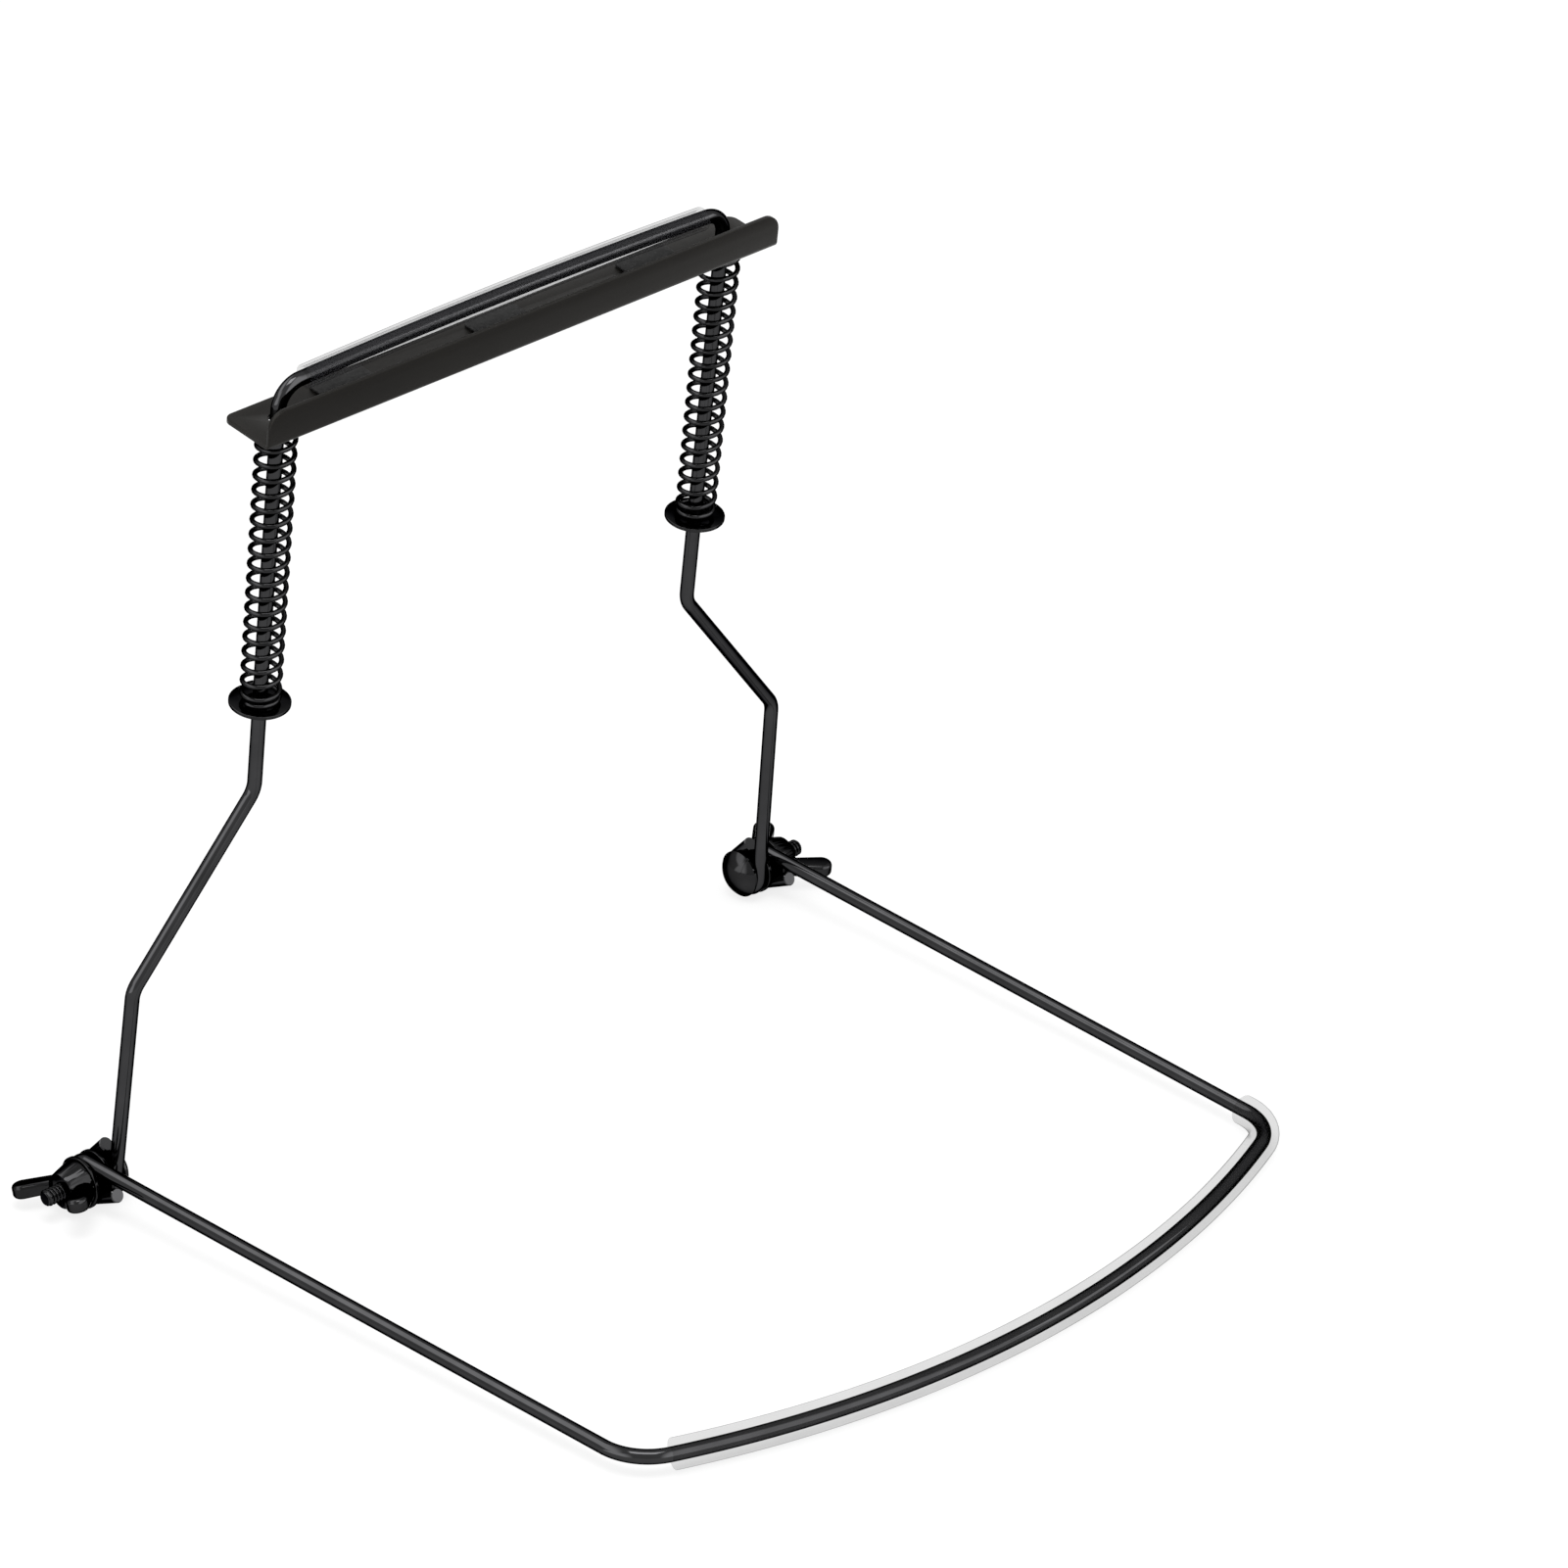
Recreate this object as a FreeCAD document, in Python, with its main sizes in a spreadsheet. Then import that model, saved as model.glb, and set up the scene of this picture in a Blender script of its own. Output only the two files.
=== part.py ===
import FreeCAD, Part
import math
import os
import re
import Sketcher
from FreeCAD import Placement, Rotation, Vector

# Harmonica holder worn round the neck: a bent rod yoke, a folding rod frame and a sprung rail.
# Millimetres. +Z is up, +X is the wearer's side to side, -Y is towards the neck.
# The holder rests on its two outer washers and on the neck sleeve.

os.makedirs("parts", exist_ok=True)
doc = FreeCAD.newDocument("HarmonicaHolder")

SIZES = [
    # rods and their eyes
    ("rod_diameter", 4.0),
    ("eye_hole_diameter", 6.4),
    ("yoke_tail_length", 11.2),
    ("leg_tail_length", 8.2),
    ("end_bend_radius", 40.0),
    # neck yoke
    ("arm_half_width", 123.3),
    ("corner_inset", 6.5),
    ("arm_length", 206.3),
    ("bow_depth", 26.0),
    ("corner_radius", 16.0),
    # front frame
    ("knee_inset", 7.7),
    ("knee_height", 61.4),
    ("shoulder_height", 110.2),
    ("leg_half_spacing", 77.3),
    ("leg_bend_radius", 8.0),
    ("bar_bend_radius", 7.0),
    ("bar_arch", 1.5),
    # sleeves
    ("neck_sleeve_diameter", 8.3),
    ("neck_sleeve_setback", 0.5),
    ("neck_sleeve_reach", 1.5),
    ("bar_sleeve_diameter", 6.5),
    ("bar_sleeve_length", 138.0),
    ("neck_sleeve_clearance", 0.1),
    ("bar_sleeve_clearance", 0.6),
    # pivots
    ("bolt_diameter", 4.8),
    ("bolt_length", 22.225),
    ("head_diameter", 13.8),
    ("head_height", 4.0),
    ("head_rim", 0.8),
    ("thread_chamfer", 0.6),
    ("washer_diameter", 14.8),
    ("washer_thickness", 1.0),
    ("washer_clearance", 0.2),
    ("stack_gap", 0.12),
    # wing nuts
    ("nut_base_diameter", 13.6),
    ("nut_top_diameter", 10.0),
    ("nut_hub_height", 6.2),
    ("nut_clearance", 0.1),
    ("wing_thickness", 4.0),
    ("wing_root_radius", 2.6),
    ("wing_root_reach", 6.9),
    ("wing_root_height", 3.4),
    ("wing_tip_radius", 3.1),
    ("wing_tip_reach", 11.9),
    ("wing_tip_height", 9.6),
    ("wing_edge_round", 1.2),
    # springs and their seats
    ("seat_height", 138.0),
    ("seat_diameter", 16.5),
    ("seat_thickness", 1.0),
    ("seat_clearance", 0.05),
    ("spring_diameter", 11.3),
    ("wire_diameter", 1.4),
    ("end_coil_gap", 0.5),
    ("spring_seat_gap", 0.1),
    # harmonica rail and its pads
    ("rail_height", 224.6),
    ("rail_end_reach", 11.1),
    ("rail_thickness", 1.2),
    ("rail_near_reach", 9.7),
    ("rail_far_reach", 8.6),
    ("rail_lip_height", 9.3),
    ("rail_hole_diameter", 5.0),
    ("rail_lip_corner_radius", 5.0),
    ("rail_floor_corner_radius", 2.8),
    ("rail_fold_radius", 1.6),
    ("bar_above_rail", 9.0),
    ("pad_length", 17.5),
    ("pad_width", 14.0),
    ("pad_thickness", 1.0),
    ("pad_spacing", 53.0),
    ("pad_corner_radius", 1.8),
    ("pad_gap", 0.05),
    ("cut_overrun", 1.0),
]

# turns of the rod round each eye, the lean of the front frame from the yoke, the nuts' turns, in degrees
YOKE_EYE_WRAP = 206.0
LEG_EYE_WRAP = 216.0
FRAME_LEAN = 7.77
LEFT_NUT_TURN = -12.0
RIGHT_NUT_TURN = 8.0
# counts
SPRING_TURNS = 20
CLOSED_TURNS = 1.0
RAMP_TURNS = 0.5
# two places or directions closer than this are the same
SAME = 1e-6
SAME_EDGE = 1e-4

sheet = doc.addObject("Spreadsheet::Sheet", "Sizes")
for row, (alias, value) in enumerate(SIZES, start=1):
    sheet.set("A%d" % row, alias)
    sheet.set("B%d" % row, str(value))
    sheet.setAlias("B%d" % row, alias)
doc.recompute()


def size(alias):
    """The value of a named size."""
    return float(sheet.get(alias))


# sizes that follow from the named ones
rod_radius = size("rod_diameter") / 2
eye_radius = (size("eye_hole_diameter") + size("rod_diameter")) / 2
gap = size("stack_gap")
washer = size("washer_thickness")
arm_x = size("arm_half_width")
inner_washer_x = arm_x - rod_radius - gap - washer
leg_x = inner_washer_x - gap - rod_radius
outer_washer_x = arm_x + rod_radius + gap
nut_x = outer_washer_x + washer + gap
head_x = leg_x - rod_radius - gap

neck_radius = size("neck_sleeve_diameter") / 2
bow_y = -(size("arm_length") + size("bow_depth"))
tilt = math.atan2(eye_radius, -bow_y)
tilt += math.asin((size("washer_diameter") / 2 - neck_radius) / math.hypot(bow_y, eye_radius))
tilt = math.degrees(tilt)
lean = tilt + FRAME_LEAN

rail_top = size("rail_height")
rail_under = rail_top - size("rail_thickness")
bar_z = rail_top + size("bar_above_rail")
seat_top = size("seat_height") + size("seat_thickness") / 2


# bent paths
def arc_through(start, direction, end):
    """The arc that leaves start along direction and arrives at end."""
    chord = end - start
    along = Vector(chord).normalize()
    out = Vector(direction).normalize()
    side = out - along * out.dot(along)
    half_turn = math.acos(max(-1.0, min(1.0, out.dot(along))))
    side.normalize()
    middle = start + chord * 0.5 + side * (chord.Length / 2 * math.tan(half_turn / 2))
    return Part.Arc(start, middle, end).toShape()


def corner_points(before, vertex, after, radius):
    """Where an arc of the given radius touches the two straight runs that meet at vertex."""
    into = (before - vertex).normalize()
    away = (after - vertex).normalize()
    half = into.getAngle(away) / 2
    reach = radius / math.tan(half)
    return vertex + into * reach, vertex + away * reach


def bow_corner(start, vertex, sagitta, radius):
    """Plan of one half of a rod that runs straight and turns a corner into a shallow bow.

    The bow is the circle through vertex, its mirror image and the point sagitta beyond them.
    Returns the bow's centre height and radius, and the corner arc's start, middle and end.
    """
    sign = 1.0 if vertex[1] > start[1] else -1.0
    bow_radius = (vertex[0] ** 2 + sagitta ** 2) / (2 * sagitta)
    centre_v = vertex[1] + sign * (sagitta - bow_radius)
    run = (vertex[0] - start[0], vertex[1] - start[1])
    length = math.hypot(*run)
    run = (run[0] / length, run[1] / length)
    inward = (-abs(run[1]), -run[0] if run[1] < 0 else run[0])
    if inward[0] * run[0] + inward[1] * run[1] > SAME:
        inward = (inward[0], -inward[1])
    base = (start[0] + radius * inward[0], start[1] + radius * inward[1])
    off = (base[0], base[1] - centre_v)
    b_term = off[0] * run[0] + off[1] * run[1]
    c_term = off[0] ** 2 + off[1] ** 2 - (bow_radius - radius) ** 2
    reach = -b_term + math.sqrt(b_term ** 2 - c_term)
    touch = (start[0] + reach * run[0], start[1] + reach * run[1])
    centre = (base[0] + reach * run[0], base[1] + reach * run[1])
    out = math.hypot(centre[0], centre[1] - centre_v)
    unit = (centre[0] / out, (centre[1] - centre_v) / out)
    end = (unit[0] * bow_radius, centre_v + unit[1] * bow_radius)
    mid = (touch[0] + end[0] - 2 * centre[0], touch[1] + end[1] - 2 * centre[1])
    scale = radius / math.hypot(*mid)
    middle = (centre[0] + mid[0] * scale, centre[1] + mid[1] * scale)
    return centre_v, bow_radius, touch, middle, end


def eye_point(x, angle):
    """A point of an eye's centre line, at an angle from +Y towards +Z."""
    turn = math.radians(angle)
    return Vector(x, eye_radius * math.cos(turn), eye_radius * math.sin(turn))


def eye_edges(x, first, wrap, tail):
    """Rod end, from the cut face: a straight tail and the ring that it closes, up to angle first."""
    last = first + wrap
    way = 1.0 if wrap > 0 else -1.0
    turn = math.radians(last)
    along = Vector(0, -math.sin(turn) * way, math.cos(turn) * way)
    ring_end = eye_point(x, last)
    edges = [Part.LineSegment(ring_end + along * tail, ring_end).toShape()]
    late, half_way = eye_point(x, first + wrap * 0.75), eye_point(x, first + wrap * 0.5)
    edges.append(Part.Arc(ring_end, late, half_way).toShape())
    edges.append(Part.Arc(eye_point(x, first + wrap * 0.5), eye_point(x, first + wrap * 0.25),
                          eye_point(x, first)).toShape())
    return edges


def mirrored(edges):
    """The same edges on the other side, in reverse order."""
    plane = Vector(1, 0, 0)
    return [edge.mirror(Vector(0, 0, 0), plane) for edge in reversed(edges)]


def bow_arc(centre_v, radius, angle_from, angle_to, place):
    """Arc of the bow between two angles, put into space by place."""
    points = []
    for share in (0.0, 0.5, 1.0):
        angle = angle_from + (angle_to - angle_from) * share
        points.append(place(radius * math.cos(angle), centre_v + radius * math.sin(angle)))
    return Part.Arc(*points).toShape()


# neck yoke path, arms in the plane z = eye_radius
def yoke_place(x, y):
    return Vector(x, y, eye_radius)


yoke_bend = size("end_bend_radius")
arm_start = eye_point(arm_x, 90.0)
arm_vertex = Vector(arm_x, -size("rod_diameter"), eye_radius)
corner_target = Vector(arm_x - size("corner_inset"), -size("arm_length"), eye_radius)
bend_in, bend_out = corner_points(arm_start, arm_vertex, corner_target, yoke_bend)
yoke_bow = bow_corner((arm_vertex.x, arm_vertex.y), (corner_target.x, corner_target.y),
                      size("bow_depth"), size("corner_radius"))
bow_centre, bow_radius, corner_in, corner_mid, corner_out = yoke_bow
bow_angle = math.atan2(corner_out[1] - bow_centre, corner_out[0])

right_yoke = eye_edges(arm_x, 90.0, -YOKE_EYE_WRAP, size("yoke_tail_length"))
right_yoke.append(Part.LineSegment(arm_start, bend_in).toShape())
right_yoke.append(arc_through(bend_in, arm_vertex - arm_start, bend_out))
right_yoke.append(Part.LineSegment(bend_out, yoke_place(*corner_in)).toShape())
corner_arc = Part.Arc(yoke_place(*corner_in), yoke_place(*corner_mid), yoke_place(*corner_out)).toShape()
right_yoke.append(corner_arc)
yoke_edges = list(right_yoke)
left_bow_angle = -math.pi - bow_angle
middle_angle = -math.pi / 2
yoke_edges.append(bow_arc(bow_centre, bow_radius, bow_angle, middle_angle, yoke_place))
yoke_edges.append(bow_arc(bow_centre, bow_radius, middle_angle, left_bow_angle, yoke_place))
yoke_edges += mirrored(right_yoke)

# the sleeve starts on the bow just past the left corner and ends on the right arm
sleeve_left_angle = left_bow_angle + size("neck_sleeve_setback") / bow_radius
arm_run = (bend_out - yoke_place(*corner_in)).normalize()
sleeve_end = yoke_place(*corner_in) + arm_run * size("neck_sleeve_reach")
sleeve_edges = [
    bow_arc(bow_centre, bow_radius, sleeve_left_angle, middle_angle, yoke_place),
    bow_arc(bow_centre, bow_radius, middle_angle, bow_angle, yoke_place),
    Part.Arc(yoke_place(*corner_out), yoke_place(*corner_mid), yoke_place(*corner_in)).toShape(),
    Part.LineSegment(yoke_place(*corner_in), sleeve_end).toShape(),
]

# front frame path, legs in the plane y = -eye_radius


def frame_place(x, z):
    return Vector(x, -eye_radius, z)


leg_points = [
    eye_point(leg_x, 180.0),
    frame_place(leg_x, size("rod_diameter")),
    frame_place(arm_x - size("knee_inset"), size("knee_height")),
    frame_place(size("leg_half_spacing"), size("shoulder_height")),
]
bar_bow = bow_corner((size("leg_half_spacing"), size("shoulder_height")), (size("leg_half_spacing"), bar_z),
                     size("bar_arch"), size("bar_bend_radius"))
arch_centre, arch_radius, top_in, top_mid, top_out = bar_bow
arch_angle = math.atan2(top_out[1] - arch_centre, top_out[0])
leg_points.append(frame_place(*top_in))
right_leg = eye_edges(leg_x, 180.0, LEG_EYE_WRAP, size("leg_tail_length"))
here = leg_points[0]
for index, radius in ((1, yoke_bend), (2, size("leg_bend_radius")), (3, size("leg_bend_radius"))):
    before, vertex, after = leg_points[index - 1:index + 2]
    bend_from, bend_to = corner_points(before, vertex, after, radius)
    right_leg.append(Part.LineSegment(here, bend_from).toShape())
    right_leg.append(arc_through(bend_from, leg_points[index] - leg_points[index - 1], bend_to))
    here = bend_to
right_leg.append(Part.LineSegment(here, leg_points[4]).toShape())
right_leg.append(Part.Arc(frame_place(*top_in), frame_place(*top_mid), frame_place(*top_out)).toShape())
frame_edges = list(right_leg)
frame_edges.append(bow_arc(arch_centre, arch_radius, arch_angle, math.pi / 2, frame_place))
frame_edges.append(bow_arc(arch_centre, arch_radius, math.pi / 2, math.pi - arch_angle, frame_place))
frame_edges += mirrored(right_leg)

half_sleeve = size("bar_sleeve_length") / 2 / arch_radius
bar_sleeve_edges = [
    bow_arc(arch_centre, arch_radius, math.pi / 2 - half_sleeve, math.pi / 2, frame_place),
    bow_arc(arch_centre, arch_radius, math.pi / 2, math.pi / 2 + half_sleeve, frame_place),
]


# springs
def spring_height(turn, length, closed_pitch):
    """Height of the wire's centre after some turns: close at both ends, open between, with ramps."""
    open_turns = SPRING_TURNS - 2 * CLOSED_TURNS - RAMP_TURNS
    open_pitch = closed_pitch + (length - closed_pitch * SPRING_TURNS) / open_turns

    def eased(value):
        into = min(max(value - CLOSED_TURNS, 0.0), RAMP_TURNS)
        return into ** 2 / (2 * RAMP_TURNS) + max(value - CLOSED_TURNS - RAMP_TURNS, 0.0)

    lower = eased(min(turn, SPRING_TURNS / 2))
    upper = 0.0
    if turn > SPRING_TURNS / 2:
        upper = eased(SPRING_TURNS / 2) - eased(SPRING_TURNS - turn)
    return closed_pitch * turn + (open_pitch - closed_pitch) * (lower + upper)


def spring_path(length):
    """Wire centre line: biarcs of a quarter turn, from the seat at z = 0 up to the rail at z = length."""
    coil_radius = (size("spring_diameter") - size("wire_diameter")) / 2
    closed_pitch = size("wire_diameter") + size("end_coil_gap")
    rise = length - size("wire_diameter")
    steps = SPRING_TURNS * 4
    small = SAME_EDGE
    knots = []
    for step in range(steps + 1):
        turn = step / 4
        angle = 2 * math.pi * turn
        z = spring_height(turn, rise, closed_pitch)
        ahead = spring_height(min(turn + small, SPRING_TURNS), rise, closed_pitch)
        behind = spring_height(max(turn - small, 0.0), rise, closed_pitch)
        span = min(turn + small, SPRING_TURNS) - max(turn - small, 0.0)
        slope = (ahead - behind) / span / (2 * math.pi * coil_radius)
        height = z + size("wire_diameter") / 2
        point = Vector(coil_radius * math.cos(angle), coil_radius * math.sin(angle), height)
        tangent = Vector(-math.sin(angle), math.cos(angle), slope).normalize()
        knots.append((point, tangent))
    edges = []
    for (start, first), (end, last) in zip(knots[:-1], knots[1:]):
        span = end - start
        total = first + last
        spread = 2 * (1 - first.dot(last))
        along = span.dot(total)
        reach = (-along + math.sqrt(along ** 2 + spread * span.dot(span))) / spread
        joint = (start + end + (first - last) * reach) * 0.5
        middle_way = (end - last * reach) - (start + first * reach)
        edges.append(arc_through(start, first, joint))
        edges.append(arc_through(joint, middle_way, end))
    return edges


def least_gap(edges, wire, per_edge=6):
    """Least gap of a spring to itself, on points of its centre line more than half a turn apart."""
    points = []
    for edge in edges:
        first, last = edge.ParameterRange
        for step in range(per_edge):
            points.append(edge.valueAt(first + (last - first) * step / per_edge))
    half_turn = 4 * per_edge
    least = None
    for index, point in enumerate(points):
        for other in points[index + half_turn:index + 3 * half_turn]:
            distance = point.distanceToPoint(other) - wire
            if least is None or distance < least:
                least = distance
    return least


# building blocks
def wire_object(name, edges, placement):
    """A path kept in the document, so that the swept pieces can follow it."""
    path = doc.addObject("Part::Feature", name)
    path.Shape = Part.Wire(edges)
    path.Placement = placement
    return path


def swept(name, path, radius_expression):
    """A round bar along a path, its radius bound to the sheet."""
    edge = path.Shape.Edges[0]
    start = edge.valueAt(edge.FirstParameter)
    tangent = edge.tangentAt(edge.FirstParameter)
    section = doc.addObject("Part::Circle", name + "_section")
    section.setExpression("Radius", full(radius_expression))
    section.Placement = Placement(start, Rotation(Vector(0, 0, 1), tangent))
    bar = doc.addObject("Part::Sweep", name)
    bar.Sections = [section]
    bar.Spine = (path, ["Edge%d" % (index + 1) for index in range(len(path.Shape.Edges))])
    bar.Solid = True
    bar.Frenet = False
    bar.Label = name
    return bar


def new_body(name):
    body = doc.addObject("PartDesign::Body", name)
    body.Label = name
    return body


def new_sketch(body, name, role):
    sketch = body.newObject("Sketcher::SketchObject", name)
    plane = [item for item in body.Origin.OriginFeatures if item.Role == role][0]
    sketch.AttachmentSupport = [(plane, "")]
    sketch.MapMode = "FlatFace"
    return sketch


def full(expression):
    """The expression with the sheet's name before each of its sizes."""
    return re.sub(r"[a-z]+(_[a-z]+)+", lambda found: "Sizes." + found.group(0), expression)


def bind(sketch, constraint, expression):
    """Adds a sized constraint and binds it to the sheet."""
    index = sketch.addConstraint(constraint)
    sketch.setExpression("Constraints[%d]" % index, full(expression))


def value_of(expression):
    return float(sheet.evalExpression(full(expression)))


def add_circle(sketch, radius_expression, u_expression=None, v_expression=None):
    """A circle at the sketch's origin, or at the place that two expressions give."""
    radius = value_of(radius_expression)
    u = value_of(u_expression) if u_expression else 0
    v = value_of(v_expression) if v_expression else 0
    geo = sketch.addGeometry(Part.Circle(Vector(u, v, 0), Vector(0, 0, 1), radius), False)
    bind(sketch, Sketcher.Constraint("Radius", geo, radius), radius_expression)
    if u_expression is None:
        sketch.addConstraint(Sketcher.Constraint("Coincident", geo, 3, -1, 1))
    else:
        bind(sketch, Sketcher.Constraint("DistanceX", -1, 1, geo, 3, u), u_expression)
        if v_expression is None:
            sketch.addConstraint(Sketcher.Constraint("PointOnObject", geo, 3, -1))
        else:
            bind(sketch, Sketcher.Constraint("DistanceY", -1, 1, geo, 3, v), v_expression)
    return geo


def add_outline(sketch, corners, arcs=()):
    """A closed outline through corners given as pairs of expressions, some runs of it arcs."""
    points = [Vector(value_of(u), value_of(v), 0) for u, v in corners]
    count = len(points)
    arcs = dict(arcs)
    ids = []
    for index, point in enumerate(points):
        after = points[(index + 1) % count]
        if index in arcs:
            radius = value_of(arcs[index])
            chord = after - point
            middle = (point + after) * 0.5
            side = Vector(chord.y, -chord.x, 0).normalize()
            bulge = radius - math.sqrt(radius ** 2 - (chord.Length / 2) ** 2)
            ids.append(sketch.addGeometry(Part.Arc(point, middle + side * bulge, after), False))
        else:
            ids.append(sketch.addGeometry(Part.LineSegment(point, after), False))
    ends = []
    for index, geo in enumerate(ids):
        flipped = False
        if index in arcs:
            flipped = sketch.getPoint(geo, 1).distanceToPoint(points[index]) > SAME
        ends.append((2, 1) if flipped else (1, 2))
    for index, geo in enumerate(ids):
        after = (index + 1) % count
        own, other = ends[index][1], ends[after][0]
        sketch.addConstraint(Sketcher.Constraint("Coincident", geo, own, ids[after], other))
    for index, (u, v) in enumerate(corners):
        geo, end = ids[index], ends[index][0]
        bind(sketch, Sketcher.Constraint("DistanceX", -1, 1, geo, end, points[index].x), u)
        bind(sketch, Sketcher.Constraint("DistanceY", -1, 1, geo, end, points[index].y), v)
    for index, radius in arcs.items():
        bind(sketch, Sketcher.Constraint("Radius", ids[index], value_of(radius)), radius)
    return ids


def pad(body, sketch, name, length_expression, symmetric=False, backwards=False):
    feature = body.newObject("PartDesign::Pad", name)
    feature.Profile = sketch
    if symmetric:
        feature.SideType = "Symmetric"
    feature.Reversed = backwards
    feature.setExpression("Length", full(length_expression))
    return feature


def revolve(body, sketch, name, axis_role):
    feature = body.newObject("PartDesign::Revolution", name)
    feature.Profile = sketch
    axis = [item for item in body.Origin.OriginFeatures if item.Role == axis_role][0]
    feature.ReferenceAxis = (axis, [""])
    feature.Angle = 360
    return feature


def round_edges(body, base, name, radius_expression, wanted):
    """Fillets the edges of base that wanted picks by their middle point and direction."""
    doc.recompute()
    names = []
    for index, edge in enumerate(base.Shape.Edges):
        middle = edge.valueAt((edge.FirstParameter + edge.LastParameter) / 2)
        if wanted(edge, middle):
            names.append("Edge%d" % (index + 1))
    feature = body.newObject("PartDesign::Fillet", name)
    feature.Base = (base, names)
    feature.setExpression("Radius", full(radius_expression))
    return feature


# places in the object's frame
pieces = {}
pivot_height = size("washer_diameter") / 2


def washer_body(name):
    body = new_body(name)
    sketch = new_sketch(body, name + "_ring", "YZ_Plane")
    add_circle(sketch, "washer_diameter / 2")
    add_circle(sketch, "bolt_diameter / 2 + washer_clearance")
    pad(body, sketch, name + "_pad", "washer_thickness")
    return body


def bolt_body(name):
    """Round-headed bolt along +X, the flat underside of its head at x = 0."""
    body = new_body(name)
    sketch = new_sketch(body, name + "_profile", "XY_Plane")
    dome = "(((head_diameter / 2) ^ 2 + (head_height - head_rim) ^ 2) / (2 * (head_height - head_rim)))"
    corners = [
        ("-head_height", "0 * head_height"),
        ("bolt_length", "0 * head_height"),
        ("bolt_length", "bolt_diameter / 2 - thread_chamfer"),
        ("bolt_length - thread_chamfer", "bolt_diameter / 2"),
        ("0 * head_height", "bolt_diameter / 2"),
        ("0 * head_height", "head_diameter / 2"),
        ("-head_rim", "head_diameter / 2"),
    ]
    add_outline(sketch, corners, [(6, dome)])
    revolve(body, sketch, name + "_turn", "X_Axis")
    return body


def nut_body(name):
    """Wing nut along +X with its flat face at x = 0 and its wings along Y."""
    body = new_body(name)
    sketch = new_sketch(body, name + "_hub_profile", "XY_Plane")
    corners = [
        ("0 * nut_hub_height", "bolt_diameter / 2 + nut_clearance"),
        ("nut_hub_height", "bolt_diameter / 2 + nut_clearance"),
        ("nut_hub_height", "nut_top_diameter / 2"),
        ("0 * nut_hub_height", "nut_base_diameter / 2"),
    ]
    add_outline(sketch, corners)
    revolve(body, sketch, name + "_hub", "X_Axis")
    for side, sign in (("front", "1"), ("back", "-1")):
        reach = size("wing_tip_reach") - size("wing_root_reach")
        rise = size("wing_tip_height") - size("wing_root_height")
        wings = new_sketch(body, name + "_" + side + "_wing_outline", "XY_Plane")
        add_wing(wings, float(sign), reach, rise)
        wing = pad(body, wings, name + "_" + side + "_wing", "wing_thickness", symmetric=True)
    half = size("wing_thickness") / 2

    def on_wing_face(edge, middle):
        beyond = size("nut_hub_height") + size("wing_edge_round") / 2
        return abs(abs(middle.z) - half) < SAME_EDGE and middle.x > beyond

    round_edges(body, wing, name + "_round", "wing_edge_round", on_wing_face)
    return body


def add_wing(sketch, sign, reach, rise):
    """Outline of one wing: two round ends and the straight edges that touch both."""
    root_radius = size("wing_root_radius")
    tip_radius = size("wing_tip_radius")
    length = math.hypot(reach, rise)
    lean_angle = math.atan2(reach, rise)
    taper = math.asin((root_radius - tip_radius) / length)
    root = (size("wing_root_height"), size("wing_root_reach"))
    tip = (size("wing_tip_height"), size("wing_tip_reach"))

    def around(centre, radius, angle):
        across = sign * (centre[1] + radius * math.sin(angle))
        return Vector(centre[0] + radius * math.cos(angle), across, 0)

    outer = lean_angle + math.pi / 2 - taper
    inner = lean_angle - math.pi / 2 + taper
    root_outer, root_inner = around(root, root_radius, outer), around(root, root_radius, inner)
    tip_outer, tip_inner = around(tip, tip_radius, outer), around(tip, tip_radius, inner)
    tip_far = around(tip, tip_radius, lean_angle)
    root_far = around(root, root_radius, lean_angle + math.pi)
    geos = [
        sketch.addGeometry(Part.LineSegment(root_outer, tip_outer), False),
        sketch.addGeometry(Part.Arc(tip_outer, tip_far, tip_inner), False),
        sketch.addGeometry(Part.LineSegment(tip_inner, root_inner), False),
        sketch.addGeometry(Part.Arc(root_inner, root_far, root_outer), False),
    ]
    ends = []
    for geo, first in zip(geos, (root_outer, tip_outer, tip_inner, root_inner)):
        ends.append((1, 2) if sketch.getPoint(geo, 1).distanceToPoint(first) < SAME else (2, 1))
    for index, geo in enumerate(geos):
        after = (index + 1) % len(geos)
        own, other = ends[index][1], ends[after][0]
        sketch.addConstraint(Sketcher.Constraint("Tangent", geo, own, geos[after], other))
    for geo, radius, height, across in (
        (geos[1], "wing_tip_radius", "wing_tip_height", "wing_tip_reach"),
        (geos[3], "wing_root_radius", "wing_root_height", "wing_root_reach"),
    ):
        bind(sketch, Sketcher.Constraint("Radius", geo, value_of(radius)), radius)
        bind(sketch, Sketcher.Constraint("DistanceX", -1, 1, geo, 3, value_of(height)), height)
        bind(sketch, Sketcher.Constraint("DistanceY", -1, 1, geo, 3, sign * value_of(across)),
             "%d * %s" % (sign, across))


def seat_body(name):
    body = new_body(name)
    sketch = new_sketch(body, name + "_ring", "XY_Plane")
    add_circle(sketch, "seat_diameter / 2")
    add_circle(sketch, "rod_diameter / 2 + seat_clearance")
    pad(body, sketch, name + "_pad", "seat_thickness", symmetric=True)
    return body


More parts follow.
